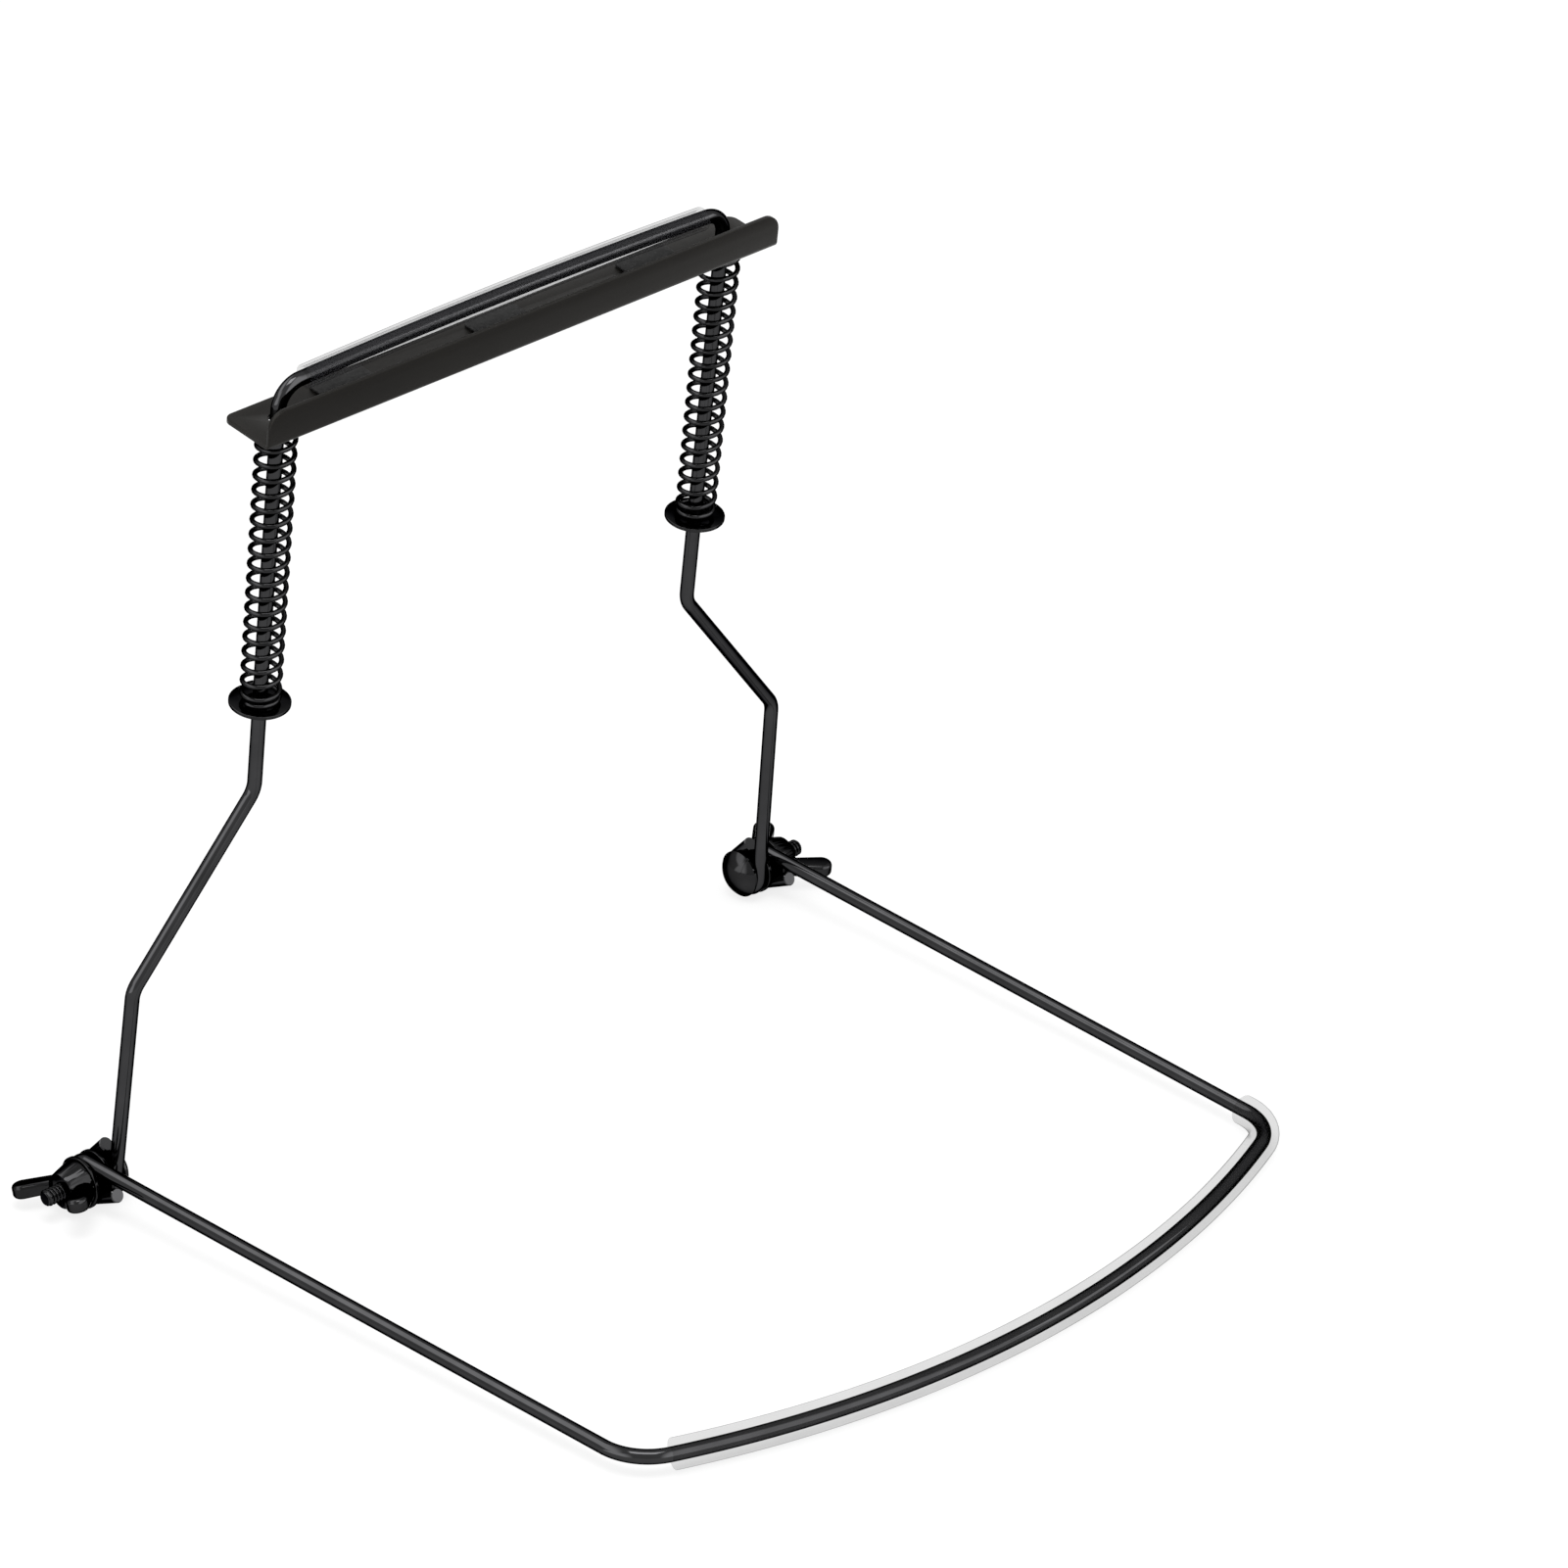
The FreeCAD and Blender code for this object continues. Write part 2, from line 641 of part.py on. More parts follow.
def rail_body(name):
    """L-shaped rail: floor with its top at z = 0 and the legs' axes at y = 0, lip up along the -Y edge."""
    body = new_body(name)
    profile = new_sketch(body, name + "_profile", "YZ_Plane")
    corners = [
        ("-rail_near_reach", "-rail_thickness"),
        ("rail_far_reach", "-rail_thickness"),
        ("rail_far_reach", "0 * rail_thickness"),
        ("rail_thickness - rail_near_reach", "0 * rail_thickness"),
        ("rail_thickness - rail_near_reach", "rail_lip_height"),
        ("-rail_near_reach", "rail_lip_height"),
    ]
    add_outline(profile, corners)
    bent = pad(body, profile, name + "_sheet", "2 * (leg_half_spacing + rail_end_reach)", symmetric=True)
    near = size("rail_near_reach")
    wall = size("rail_thickness")

    def along_fold(edge, middle, y, z):
        straight = edge.tangentAt(edge.FirstParameter)
        near = abs(middle.y - y) < SAME_EDGE and abs(middle.z - z) < SAME_EDGE
        return near and abs(abs(straight.x) - 1) < SAME

    outer = round_edges(body, bent, name + "_outer_fold", "rail_fold_radius",
                        lambda edge, middle: along_fold(edge, middle, -near, -wall))
    inner = round_edges(body, outer, name + "_inner_fold", "rail_fold_radius - rail_thickness",
                        lambda edge, middle: along_fold(edge, middle, wall - near, 0))
    lip = round_edges(body, inner, name + "_lip_corners", "rail_lip_corner_radius",
                      lambda edge, middle: abs(abs(edge.tangentAt(edge.FirstParameter).y) - 1) < SAME
                      and abs(middle.z - size("rail_lip_height")) < SAME_EDGE)
    floor = round_edges(body, lip, name + "_floor_corners", "rail_floor_corner_radius",
                        lambda edge, middle: abs(abs(edge.tangentAt(edge.FirstParameter).z) - 1) < SAME
                        and abs(middle.y - size("rail_far_reach")) < SAME_EDGE)
    holes = new_sketch(body, name + "_leg_holes", "XY_Plane")
    add_circle(holes, "rail_hole_diameter / 2", "leg_half_spacing")
    add_circle(holes, "rail_hole_diameter / 2", "-leg_half_spacing")
    cut = body.newObject("PartDesign::Pocket", name + "_leg_pocket")
    cut.Profile = holes
    cut.SideType = "Symmetric"
    cut.setExpression("Length", full("2 * (rail_thickness + cut_overrun)"))
    doc.recompute()
    floor_volume = floor.Shape.Volume
    expected = 2 * math.pi * (size("rail_hole_diameter") / 2) ** 2 * wall
    removed = floor_volume - cut.Shape.Volume
    if abs(removed - expected) > expected / 100:
        raise RuntimeError("the leg holes took %.3f instead of %.3f" % (removed, expected))
    return body


def pad_body(name):
    """Grip pad with its underside at z = 0."""
    body = new_body(name)
    sketch = new_sketch(body, name + "_outline", "XY_Plane")
    corners = [
        ("-pad_length / 2", "-pad_width / 2"),
        ("pad_length / 2", "-pad_width / 2"),
        ("pad_length / 2", "pad_width / 2"),
        ("-pad_length / 2", "pad_width / 2"),
    ]
    add_outline(sketch, corners)
    block = pad(body, sketch, name + "_block", "pad_thickness")
    round_edges(body, block, name + "_corners", "pad_corner_radius",
                lambda edge, middle: abs(abs(edge.tangentAt(edge.FirstParameter).z) - 1) < SAME)
    return body


# every piece, first about the pivots' axis
turned = {
    "yoke": Rotation(Vector(1, 0, 0), tilt),
    "frame": Rotation(Vector(1, 0, 0), lean),
}
left_nut = nut_body("left_wing_nut")
right_nut = nut_body("right_wing_nut")
doc.recompute()


def wing_front(body, turn):
    """How far a nut's wings reach towards +Y when it is turned."""
    shape = body.Shape.copy()
    shape.rotate(Vector(0, 0, 0), Vector(1, 0, 0), turn)
    return shape.optimalBoundingBox(False).YMax


front_y = max(wing_front(left_nut, LEFT_NUT_TURN), wing_front(right_nut, RIGHT_NUT_TURN))
back = turned["yoke"].multVec(Vector(0, bow_y, eye_radius))
back_y = back.y - neck_radius
shift = Vector(0, -(front_y + back_y) / 2, pivot_height)


def placed(part, offset, extra=None):
    """Placement of a piece whose offset is given in the yoke's or the frame's own directions."""
    turn = turned[part]
    if extra is None:
        extra = Rotation()
    return Placement(shift + turn.multVec(offset), turn.multiply(extra))


yoke_frame = placed("yoke", Vector(0, 0, 0))
leg_frame = placed("frame", Vector(0, 0, 0))

yoke_path = wire_object("yoke_path", yoke_edges, yoke_frame)
frame_path = wire_object("frame_path", frame_edges, leg_frame)
neck_path = wire_object("neck_sleeve_path", sleeve_edges, yoke_frame)
bar_path = wire_object("bar_sleeve_path", bar_sleeve_edges, leg_frame)
pieces["neck_yoke"] = swept("neck_yoke", yoke_path, "rod_diameter / 2")
pieces["front_frame"] = swept("front_frame", frame_path, "rod_diameter / 2")


def tube(name, path, outer_expression, clearance):
    """A clear tube along a path, bored for the rod with the named clearance."""
    outer = swept(name + "_outside", path, outer_expression)
    bore = swept(name + "_bore", path, "rod_diameter / 2 + " + clearance)
    cut = doc.addObject("Part::Cut", name)
    cut.Base = outer
    cut.Tool = bore
    cut.Label = name
    return cut


pieces["neck_sleeve"] = tube("neck_sleeve", neck_path, "neck_sleeve_diameter / 2", "neck_sleeve_clearance")
pieces["bar_sleeve"] = tube("bar_sleeve", bar_path, "bar_sleeve_diameter / 2", "bar_sleeve_clearance")

spring_start = seat_top + size("spring_seat_gap")
spring_length = rail_under - size("spring_seat_gap") - spring_start
coil = spring_path(spring_length)
spring_wire = Part.Wire(coil)
spring_self_gap = least_gap(coil, size("wire_diameter"))

for side, sign in (("left", -1.0), ("right", 1.0)):
    facing = Rotation(Vector(0, 0, 1), 180) if sign < 0 else Rotation()
    leg_top = Vector(sign * size("leg_half_spacing"), -eye_radius, 0)

    path = doc.addObject("Part::Feature", side + "_spring_path")
    path.Shape = spring_wire.copy()
    path.Placement = placed("frame", leg_top + Vector(0, 0, spring_start), facing)
    pieces[side + "_spring"] = swept(side + "_spring", path, "wire_diameter / 2")

    seat = seat_body(side + "_spring_seat")
    seat.Placement = placed("frame", leg_top + Vector(0, 0, size("seat_height")))
    pieces[side + "_spring_seat"] = seat

    bolt = bolt_body(side + "_pivot_bolt")
    bolt.Placement = placed("frame", Vector(sign * head_x, 0, 0), facing)
    pieces[side + "_pivot_bolt"] = bolt

    inner = washer_body(side + "_inner_washer")
    inner.Placement = placed("frame", Vector(sign * inner_washer_x, 0, 0), facing)
    pieces[side + "_inner_washer"] = inner

    outer = washer_body(side + "_outer_washer")
    outer.Placement = placed("yoke", Vector(sign * outer_washer_x, 0, 0), facing)
    pieces[side + "_outer_washer"] = outer

half_turn = Rotation(Vector(0, 0, 1), 180)
left_way = Rotation(Vector(1, 0, 0), LEFT_NUT_TURN).multiply(half_turn)
left_nut.Placement = Placement(shift + Vector(-nut_x, 0, 0), left_way)
right_nut.Placement = Placement(shift + Vector(nut_x, 0, 0), Rotation(Vector(1, 0, 0), RIGHT_NUT_TURN))
pieces["left_wing_nut"] = left_nut
pieces["right_wing_nut"] = right_nut

rail = rail_body("harmonica_rail")
rail.Placement = placed("frame", Vector(0, -eye_radius, rail_top))
pieces["harmonica_rail"] = rail

floor_middle = (size("rail_far_reach") + size("rail_thickness") - size("rail_near_reach")) / 2
for name, share in (("left_grip_pad", -1), ("centre_grip_pad", 0), ("right_grip_pad", 1)):
    grip = pad_body(name)
    spot = Vector(share * size("pad_spacing"), floor_middle - eye_radius, rail_top + size("pad_gap"))
    grip.Placement = placed("frame", spot)
    pieces[name] = grip

doc.recompute()

# check and write
for item in doc.Objects:
    if "Invalid" in item.State or "Error" in item.State:
        raise RuntimeError("%s did not recompute: %s" % (item.Name, item.State))
for name, item in pieces.items():
    if item.Label != name:
        raise RuntimeError("%s is labelled %s" % (name, item.Label))
    if item.Shape.isNull() or not item.Shape.isValid() or len(item.Shape.Solids) != 1:
        raise RuntimeError("%s is not one valid solid" % name)
for name, path, radius in (
    ("neck_yoke", yoke_path, rod_radius),
    ("front_frame", frame_path, rod_radius),
    ("left_spring", doc.getObject("left_spring_path"), size("wire_diameter") / 2),
):
    ideal = math.pi * radius ** 2 * path.Shape.Length
    found = pieces[name].Shape.Volume
    print("%s: length %.1f, volume %.1f of %.1f" % (name, path.Shape.Length, found, ideal))
    if abs(found - ideal) > ideal / 200:
        raise RuntimeError("%s has lost its section" % name)
print("least gap of a spring to itself: %.3f" % spring_self_gap)
if spring_self_gap < size("end_coil_gap") * 0.8:
    raise RuntimeError("the spring's turns come too close")

for name, item in pieces.items():
    item.Shape.exportStep("parts/%s.step" % name)

slide = turned["frame"].multVec(Vector(0, 0, 1))
print("yoke tilt %.4f, frame lean %.4f" % (tilt, lean))
print("pivot axis at y %.4f, z %.4f" % (shift.y, shift.z))
print("slide direction %.6f %.6f %.6f" % (slide.x, slide.y, slide.z))
print("x of leg %.3f, inner washer %.3f, arm %.3f, outer washer %.3f, nut %.3f" % (
    leg_x, inner_washer_x, arm_x, outer_washer_x, nut_x))
for name, spot in (("rail floor", Vector(0, -eye_radius, rail_top)), ("bar", Vector(0, -eye_radius, bar_z)),
                   ("spring foot", Vector(size("leg_half_spacing"), -eye_radius, spring_start))):
    point = shift + turned["frame"].multVec(spot)
    print("%s at %.3f %.3f %.3f" % (name, point.x, point.y, point.z))
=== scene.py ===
"""Looks of the harmonica holder, laid out as an add-on and run as a script.

Rods, sleeves, springs, bolts and washers are profiles carried along a path or turned about an axis.
They are worked out with numpy in the pivots' own frame, in metres, then leaned and put in the row
frame. Wing nuts, rail and grip pads are copies of their CAD nodes with rounded edges.
"""

import math

import bmesh
import bpy
import numpy as np
from mathutils import Matrix, Vector


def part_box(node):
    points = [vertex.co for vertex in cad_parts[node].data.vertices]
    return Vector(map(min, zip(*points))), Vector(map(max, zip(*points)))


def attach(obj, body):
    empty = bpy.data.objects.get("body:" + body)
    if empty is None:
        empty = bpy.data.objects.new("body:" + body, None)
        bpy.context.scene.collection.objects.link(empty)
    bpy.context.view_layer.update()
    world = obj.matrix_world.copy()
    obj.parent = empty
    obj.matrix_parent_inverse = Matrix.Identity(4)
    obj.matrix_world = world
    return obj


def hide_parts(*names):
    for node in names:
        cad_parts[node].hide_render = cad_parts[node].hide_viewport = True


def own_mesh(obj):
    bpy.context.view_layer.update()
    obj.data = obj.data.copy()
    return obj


bl_info = {
    "name": "Harmonica Holder",
    "version": (1, 0, 0),
    "blender": (4, 5, 0),
    "location": "View3D > Sidebar > Holder",
    "description": "Builds a harmonica holder: yoke, folding frame, sprung rail and wing nuts",
    "category": "Object",
}

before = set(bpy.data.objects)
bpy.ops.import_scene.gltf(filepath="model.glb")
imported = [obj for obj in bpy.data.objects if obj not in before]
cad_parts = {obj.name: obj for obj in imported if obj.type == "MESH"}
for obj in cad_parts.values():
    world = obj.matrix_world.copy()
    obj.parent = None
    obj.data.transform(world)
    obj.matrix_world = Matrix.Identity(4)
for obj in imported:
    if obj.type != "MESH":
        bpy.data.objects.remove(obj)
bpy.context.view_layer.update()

WASHER_LOW, WASHER_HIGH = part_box("left_inner_washer")
PIVOT = np.array([0.0, (WASHER_LOW.y + WASHER_HIGH.y) / 2, (WASHER_LOW.z + WASHER_HIGH.z) / 2])
YOKE_TILT = math.radians(2.0838)
FRAME_LEAN = math.radians(9.8538)
HANDS = (("left", -1.0), ("right", 1.0))

# centre lines of the rods, in metres, measured from the pivots' axis; wraps in degrees
EYE_RADIUS, EYE_RUN, EYE_BEND = 0.0052, 0.004, 0.04
YOKE_WRAP, LEG_WRAP = 206.0, 216.0
YOKE_TAIL, LEG_TAIL = 0.0112, 0.0082
ARM_X, LEG_X = 0.1233, 0.11806
ARM_LENGTH, CORNER_X, BOW_DEPTH, CORNER_RADIUS = 0.2063, 0.1168, 0.026, 0.016
LEG_BEND, BAR_BEND, BAR_ARCH = 0.008, 0.007, 0.0015
KNEE_X, KNEE_Z = 0.1156, 0.0614
SPRING_X, SHOULDER_Z = 0.0773, 0.1102
RAIL_Z, BAR_Z = 0.2246, 0.2336
RAIL_TRAVEL, RAIL_SHEET = 0.045, 0.0012

# chamfers: a rod's as a share of its radius, a wire's of its diameter, a sleeve's of its wall
ROD_CHAMFER, WIRE_CHAMFER, SLEEVE_RIM = 0.12, 0.08, 0.05
# neck sleeve: start past the left corner, length on the right arm, depth inside the rod's surface
SLEEVE_PAST_CORNER, SLEEVE_ON_ARM, SLEEVE_SINK = 0.0005, 0.0015, 0.0002

# springs: foot, gap to the rail, gap between closed turns, closed turns and easing at each end
SPRING_FOOT_Z, SPRING_GAP, COIL_GAP = 0.1386, 0.0001, 0.0005
END_TURNS, EASE_TURNS = 1.0, 0.5

# washers and spring seats
DISC_THICKNESS = 0.001
WASHER_RADIUS, WASHER_CLEARANCE = 0.0074, 0.0002
INNER_WASHER_X, OUTER_WASHER_X = 0.12018, 0.12542
SEAT_Z, SEAT_RADIUS, SEAT_CLEARANCE = 0.138, 0.00825, 0.00005

# bolts
BOLT_X, SHANK_LENGTH, POINT_LENGTH = 0.11594, 0.022225, 0.0006
HEAD_RADIUS, HEAD_HEIGHT, HEAD_RIM, HEAD_EDGE = 0.0069, 0.004, 0.0008, 0.0002
THREAD_START, THREAD_RUN_IN, THREAD_DEPTH = 0.0015, 0.001, 0.00055
GROOVE_WIDTH, GROOVE_SLOPE = 1.25, 1.6

# mesh density
TUBE_SIDES, WIRE_SIDES, DISC_SIDES, BOLT_SIDES = 32, 12, 72, 48
EYE_STEPS, SPLAY_STEPS, CORNER_STEPS, BOW_STEPS = 36, 4, 24, 40
BAR_CORNER_STEPS, BAR_STEPS = 14, 24
NECK_SLEEVE_STEPS, SLEEVE_CORNER_STEPS, BAR_SLEEVE_STEPS = 96, 30, 48
COIL_STEPS, THREAD_STEPS, DOME_STEPS, EDGE_STEPS = 28, 14, 22, 4

# edges rounded on copies of CAD nodes
BEVEL_ANGLE, FLAT_ANGLE = math.radians(32.0), math.radians(0.5)
MERGE_DISTANCE = 1e-6


# paths
def leaned(points, lean):
    """Points turned about the pivots' axis by lean, then moved to the pivots.

    y' = y cos - z sin, z' = y sin + z cos
    """
    cos, sin = math.cos(lean), math.sin(lean)
    turn = np.array([[1, 0, 0], [0, cos, -sin], [0, sin, cos]])
    return points @ turn.T + PIVOT


def straight(start, end):
    """Stations of a straight run: its two ends, with their shared unit tangent."""
    points = np.array([start, end], float)
    way = (points[1] - points[0]) / np.linalg.norm(points[1] - points[0])
    return points, np.array([way, way])


def flat_arc(centre, radius, first, last, steps):
    """Stations on a circle: centre + radius (cos a, sin a) for a from first to last."""
    angle = np.linspace(first, last, steps + 1)
    way = 1.0 if last > first else -1.0
    across, up = centre[0] + radius * np.cos(angle), centre[1] + radius * np.sin(angle)
    return np.stack([across, up], 1), np.stack([-np.sin(angle), np.cos(angle)], 1) * way


def bend(before, vertex, after, radius, steps=10):
    """Arc that is tangent to both runs at a vertex.

    Its centre lies on their bisector, at radius / sin(half angle) from the vertex.
    """
    before, vertex, after = (np.array(p, float) for p in (before, vertex, after))
    into = (before - vertex) / np.linalg.norm(before - vertex)
    away = (after - vertex) / np.linalg.norm(after - vertex)
    half = math.acos(float(np.clip(into @ away, -1, 1))) / 2
    middle = (into + away) / np.linalg.norm(into + away)
    centre = vertex + middle * radius / math.sin(half)
    start = vertex + into * radius / math.tan(half) - centre
    end = vertex + away * radius / math.tan(half) - centre
    first = math.atan2(start[1], start[0])
    sweep = (math.atan2(end[1], end[0]) - first + math.pi) % (2 * math.pi) - math.pi
    return flat_arc(centre, radius, first, first + sweep, steps)


def bow_with_corner(start, vertex, depth, radius):
    """Corner arc between a straight run and a wide bow, tangent to both.

    The bow is the circle through vertex, its mirror image and a point depth beyond them. The
    corner's centre lies one radius inside the run and one radius inside the bow. Returns bow
    centre, bow radius, corner centre and the place where the run meets the corner.
    """
    start, vertex = np.array(start, float), np.array(vertex, float)
    sign = 1.0 if vertex[1] > start[1] else -1.0
    bow_radius = (vertex[0] ** 2 + depth ** 2) / (2 * depth)
    bow_centre = np.array([0.0, vertex[1] + sign * (depth - bow_radius)])
    run = (vertex - start) / np.linalg.norm(vertex - start)
    base = start + radius * np.array([-abs(run[1]), run[0] * sign])
    off = base - bow_centre
    along = float(off @ run)
    reach = -along + math.sqrt(along ** 2 - float(off @ off) + (bow_radius - radius) ** 2)
    return bow_centre, bow_radius, base + reach * run, start + reach * run


def joined(sections):
    """One run of stations from several, with repeated places left out."""
    points = np.concatenate([s[0] for s in sections])
    ways = np.concatenate([s[1] for s in sections])
    step = np.linalg.norm(np.diff(points, axis=0), axis=1)
    keep = np.concatenate([[True], step > 1e-7])
    return points[keep], ways[keep]


def both_sides(points, ways):
    """A right half carried on into its mirror image: the same stations in reverse, x negated."""
    flip = np.array([-1.0] + [1.0] * (points.shape[1] - 1))
    return joined([(points, ways), (points[::-1] * flip, -ways[::-1] * flip)])


def eye(x, first, wrap, tail):
    """Rod end from its cut face: a straight tail, then a ring round the pivot, in the plane at x.

    The ring runs from first + wrap to first, in degrees.
    """
    ring = flat_arc((0.0, 0.0), EYE_RADIUS, math.radians(first + wrap), math.radians(first),
                    EYE_STEPS)
    start = ring[0][0] - ring[1][0] * tail
    points, ways = joined([straight(start, ring[0][0]), ring])
    side = np.full((len(points), 1), x)
    return np.hstack([side, points]), np.hstack([side * 0, ways])


def rod_line(end, plan, lift, normal):
    """Stations of a whole rod, with a side direction at each.

    They are an eye, a flat path and their mirror images. lift puts the flat path's two coordinates
    into space. On the flat path the side is normal x tangent, in an eye it is the pivots' axis, so
    the side never turns about the rod.
    """
    flat_points, flat_ways = both_sides(*plan)
    points, ways = lift(flat_points), lift(flat_ways, True)
    sides = np.cross(np.tile(normal, (len(flat_points), 1)), ways)
    eye_points, eye_ways = end
    eye_sides = np.tile([1.0, 0.0, 0.0], (len(eye_points), 1))
    mirror = np.array([-1.0, 1.0, 1.0])
    points = np.concatenate([eye_points[:-1], points, eye_points[::-1][1:] * mirror])
    ways = np.concatenate([eye_ways[:-1], ways, -eye_ways[::-1][1:] * mirror])
    sides = np.concatenate([eye_sides[:-1], sides, -eye_sides[::-1][1:]])
    return points, ways, sides


def yoke_lift(flat, direction=False):
    """The yoke's flat path laid level, on top of its eyes. Directions are turned and not moved."""
    height = 0.0 if direction else EYE_RADIUS
    return np.column_stack([flat[:, 0], flat[:, 1], np.full(len(flat), height)])


def frame_lift(flat, direction=False):
    """The frame's flat path stood upright, before its eyes. Directions are turned and not moved."""
    depth = 0.0 if direction else -EYE_RADIUS
    return np.column_stack([flat[:, 0], np.full(len(flat), depth), flat[:, 1]])


def yoke_plan():
    """Right half of the yoke seen from above, and the measures that its sleeve follows.

    The half runs from the eye along the arm and round the corner to the middle of the bow.
    """
    start, vertex, corner = (ARM_X, 0.0), (ARM_X, -EYE_RUN), (CORNER_X, -ARM_LENGTH)
    centre, radius, turn, touch = bow_with_corner(vertex, corner, BOW_DEPTH, CORNER_RADIUS)
    splay = bend(start, vertex, corner, EYE_BEND, SPLAY_STEPS)
    out = turn - centre
    bow_angle = math.atan2(out[1], out[0])
    corner_first = math.atan2(touch[1] - turn[1], touch[0] - turn[0])
    round_corner = flat_arc(turn, CORNER_RADIUS, corner_first, bow_angle, CORNER_STEPS)
    bow = flat_arc(centre, radius, bow_angle, -math.pi / 2, BOW_STEPS)
    arm = straight(splay[0][-1], touch)
    plan = joined([straight(start, splay[0][0]), splay, arm, round_corner, bow])
    return plan, (centre, radius, bow_angle, turn, corner_first, touch, splay[0][-1])


def frame_plan():
    """Right half of the front frame seen from the front, and the bar's centre and radius.

    The half runs up the leg, round knee, shoulder and the bar's bend to the middle of the bar.
    """
    points = [(LEG_X, 0.0), (LEG_X, EYE_RUN), (KNEE_X, KNEE_Z), (SPRING_X, SHOULDER_Z),
              (SPRING_X, BAR_Z)]
    centre, radius, turn, touch = bow_with_corner(points[3], points[4], BAR_ARCH, BAR_BEND)
    bends = [bend(*points[i:i + 3], r) for i, r in enumerate((EYE_BEND, LEG_BEND, LEG_BEND))]
    onward = [part[0][0] for part in bends[1:]] + [touch]
    out = turn - centre
    bow_angle = math.atan2(out[1], out[0])
    sections = [straight(points[0], bends[0][0][0])]
    for part, end in zip(bends, onward):
        sections += [part, straight(part[0][-1], end)]
    sections.append(flat_arc(turn, BAR_BEND, 0.0, bow_angle, BAR_CORNER_STEPS))
    sections.append(flat_arc(centre, radius, bow_angle, math.pi / 2, BAR_STEPS))
    return joined(sections), (centre, radius)


# surfaces
def rings(points, ways, sides, radii, columns=TUBE_SIDES):
    """Circles along a path: point + radius (cos a side + sin a (way x side)), a row per station."""
    angle = np.linspace(0, 2 * math.pi, columns, endpoint=False)
    cos, sin = np.cos(angle)[None, :, None], np.sin(angle)[None, :, None]
    round_part = cos * sides[:, None] + sin * np.cross(ways, sides)[:, None]
    return points[:, None] + round_part * np.asarray(radii)[:, None, None]


def with_ends(points, ways, sides, radius, chamfer):
    """A rod's stations and radii with a small chamfer and a closed face at each end."""
    first, last = points[0], points[-1]
    points = np.concatenate([[first, first, first + ways[0] * chamfer], points[1:-1],
                             [last - ways[-1] * chamfer, last, last]])
    ways = np.concatenate([[ways[0]] * 2, ways, [ways[-1]] * 2])
    sides = np.concatenate([[sides[0]] * 2, sides, [sides[-1]] * 2])
    radii = np.full(len(points), radius)
    radii[[0, -1]] = 0.0
    radii[[1, -2]] = radius - chamfer
    return points, ways, sides, radii


def turned_profile(axial, radial, columns):
    """Profile turned about X: (x, r cos a, r sin a). Radial may have a column for each angle."""
    angle = np.linspace(0, 2 * math.pi, columns, endpoint=False)
    if radial.ndim == 1:
        radial = radial[:, None]
    axial = np.broadcast_to(axial[:, None], (len(axial), columns))
    radial = np.broadcast_to(radial, (len(radial), columns))
    return np.stack([axial, radial * np.cos(angle), radial * np.sin(angle)], -1)


def grid_faces(grid, wrap):
    """Vertices, quads and end fans of a grid of points whose columns wrap round.

    Rows wrap too when wrap is set. Otherwise the first and last rows are single points, the poles.
    Faces are turned outwards by the sign of the enclosed volume.
    """
    rows, columns = grid.shape[:2]
    col = np.arange(columns)
    after = (col + 1) % columns
    if wrap:
        vertices = grid.reshape(-1, 3)
        row = np.arange(rows)[:, None] * columns
        below = ((np.arange(rows) + 1) % rows)[:, None] * columns
        fans = np.zeros((0, 3), int)
    else:
        vertices = np.concatenate([grid[0, :1], grid[1:-1].reshape(-1, 3), grid[-1, :1]])
        row = (1 + np.arange(rows - 3) * columns)[:, None]
        below = row + columns
        last = 1 + (rows - 3) * columns
        start_fan = np.stack([np.zeros(columns, int), 1 + after, 1 + col], -1)
        end_fan = np.stack([np.full(columns, len(vertices) - 1), last + col, last + after], -1)
        fans = np.concatenate([start_fan, end_fan])
    quads = np.stack([row + col, row + after, below + after, below + col], -1).reshape(-1, 4)
    corner = vertices[np.concatenate([quads[:, :3], quads[:, [0, 2, 3]], fans])]
    volume = np.einsum("ij,ij->", corner[:, 0], np.cross(corner[:, 1], corner[:, 2]))
    if volume < 0:
        quads, fans = quads[:, ::-1], fans[:, ::-1]
    return vertices, quads, fans


def closed_surface(name, grid, wrap, sharp=38.0):
    """A closed, smooth object from a grid of points, with edges above an angle kept sharp."""
    vertices, quads, fans = grid_faces(grid, wrap)
    loops = np.concatenate([quads.ravel(), fans.ravel()])
    starts = np.concatenate([np.arange(len(quads)) * 4, len(quads) * 4 + np.arange(len(fans)) * 3])
    mesh = bpy.data.meshes.new(name)
    mesh.vertices.add(len(vertices))
    mesh.vertices.foreach_set("co", vertices.astype(np.float32).ravel())
    mesh.loops.add(len(loops))
    mesh.loops.foreach_set("vertex_index", loops.astype(np.int32))
    mesh.polygons.add(len(starts))
    mesh.polygons.foreach_set("loop_start", starts.astype(np.int32))
    mesh.update(calc_edges=True)
    mesh.validate()
    mesh.shade_smooth()
    mesh.set_sharp_from_angle(angle=math.radians(sharp))
    piece = bpy.data.objects.new(name, mesh)
    bpy.context.scene.collection.objects.link(piece)
    return piece


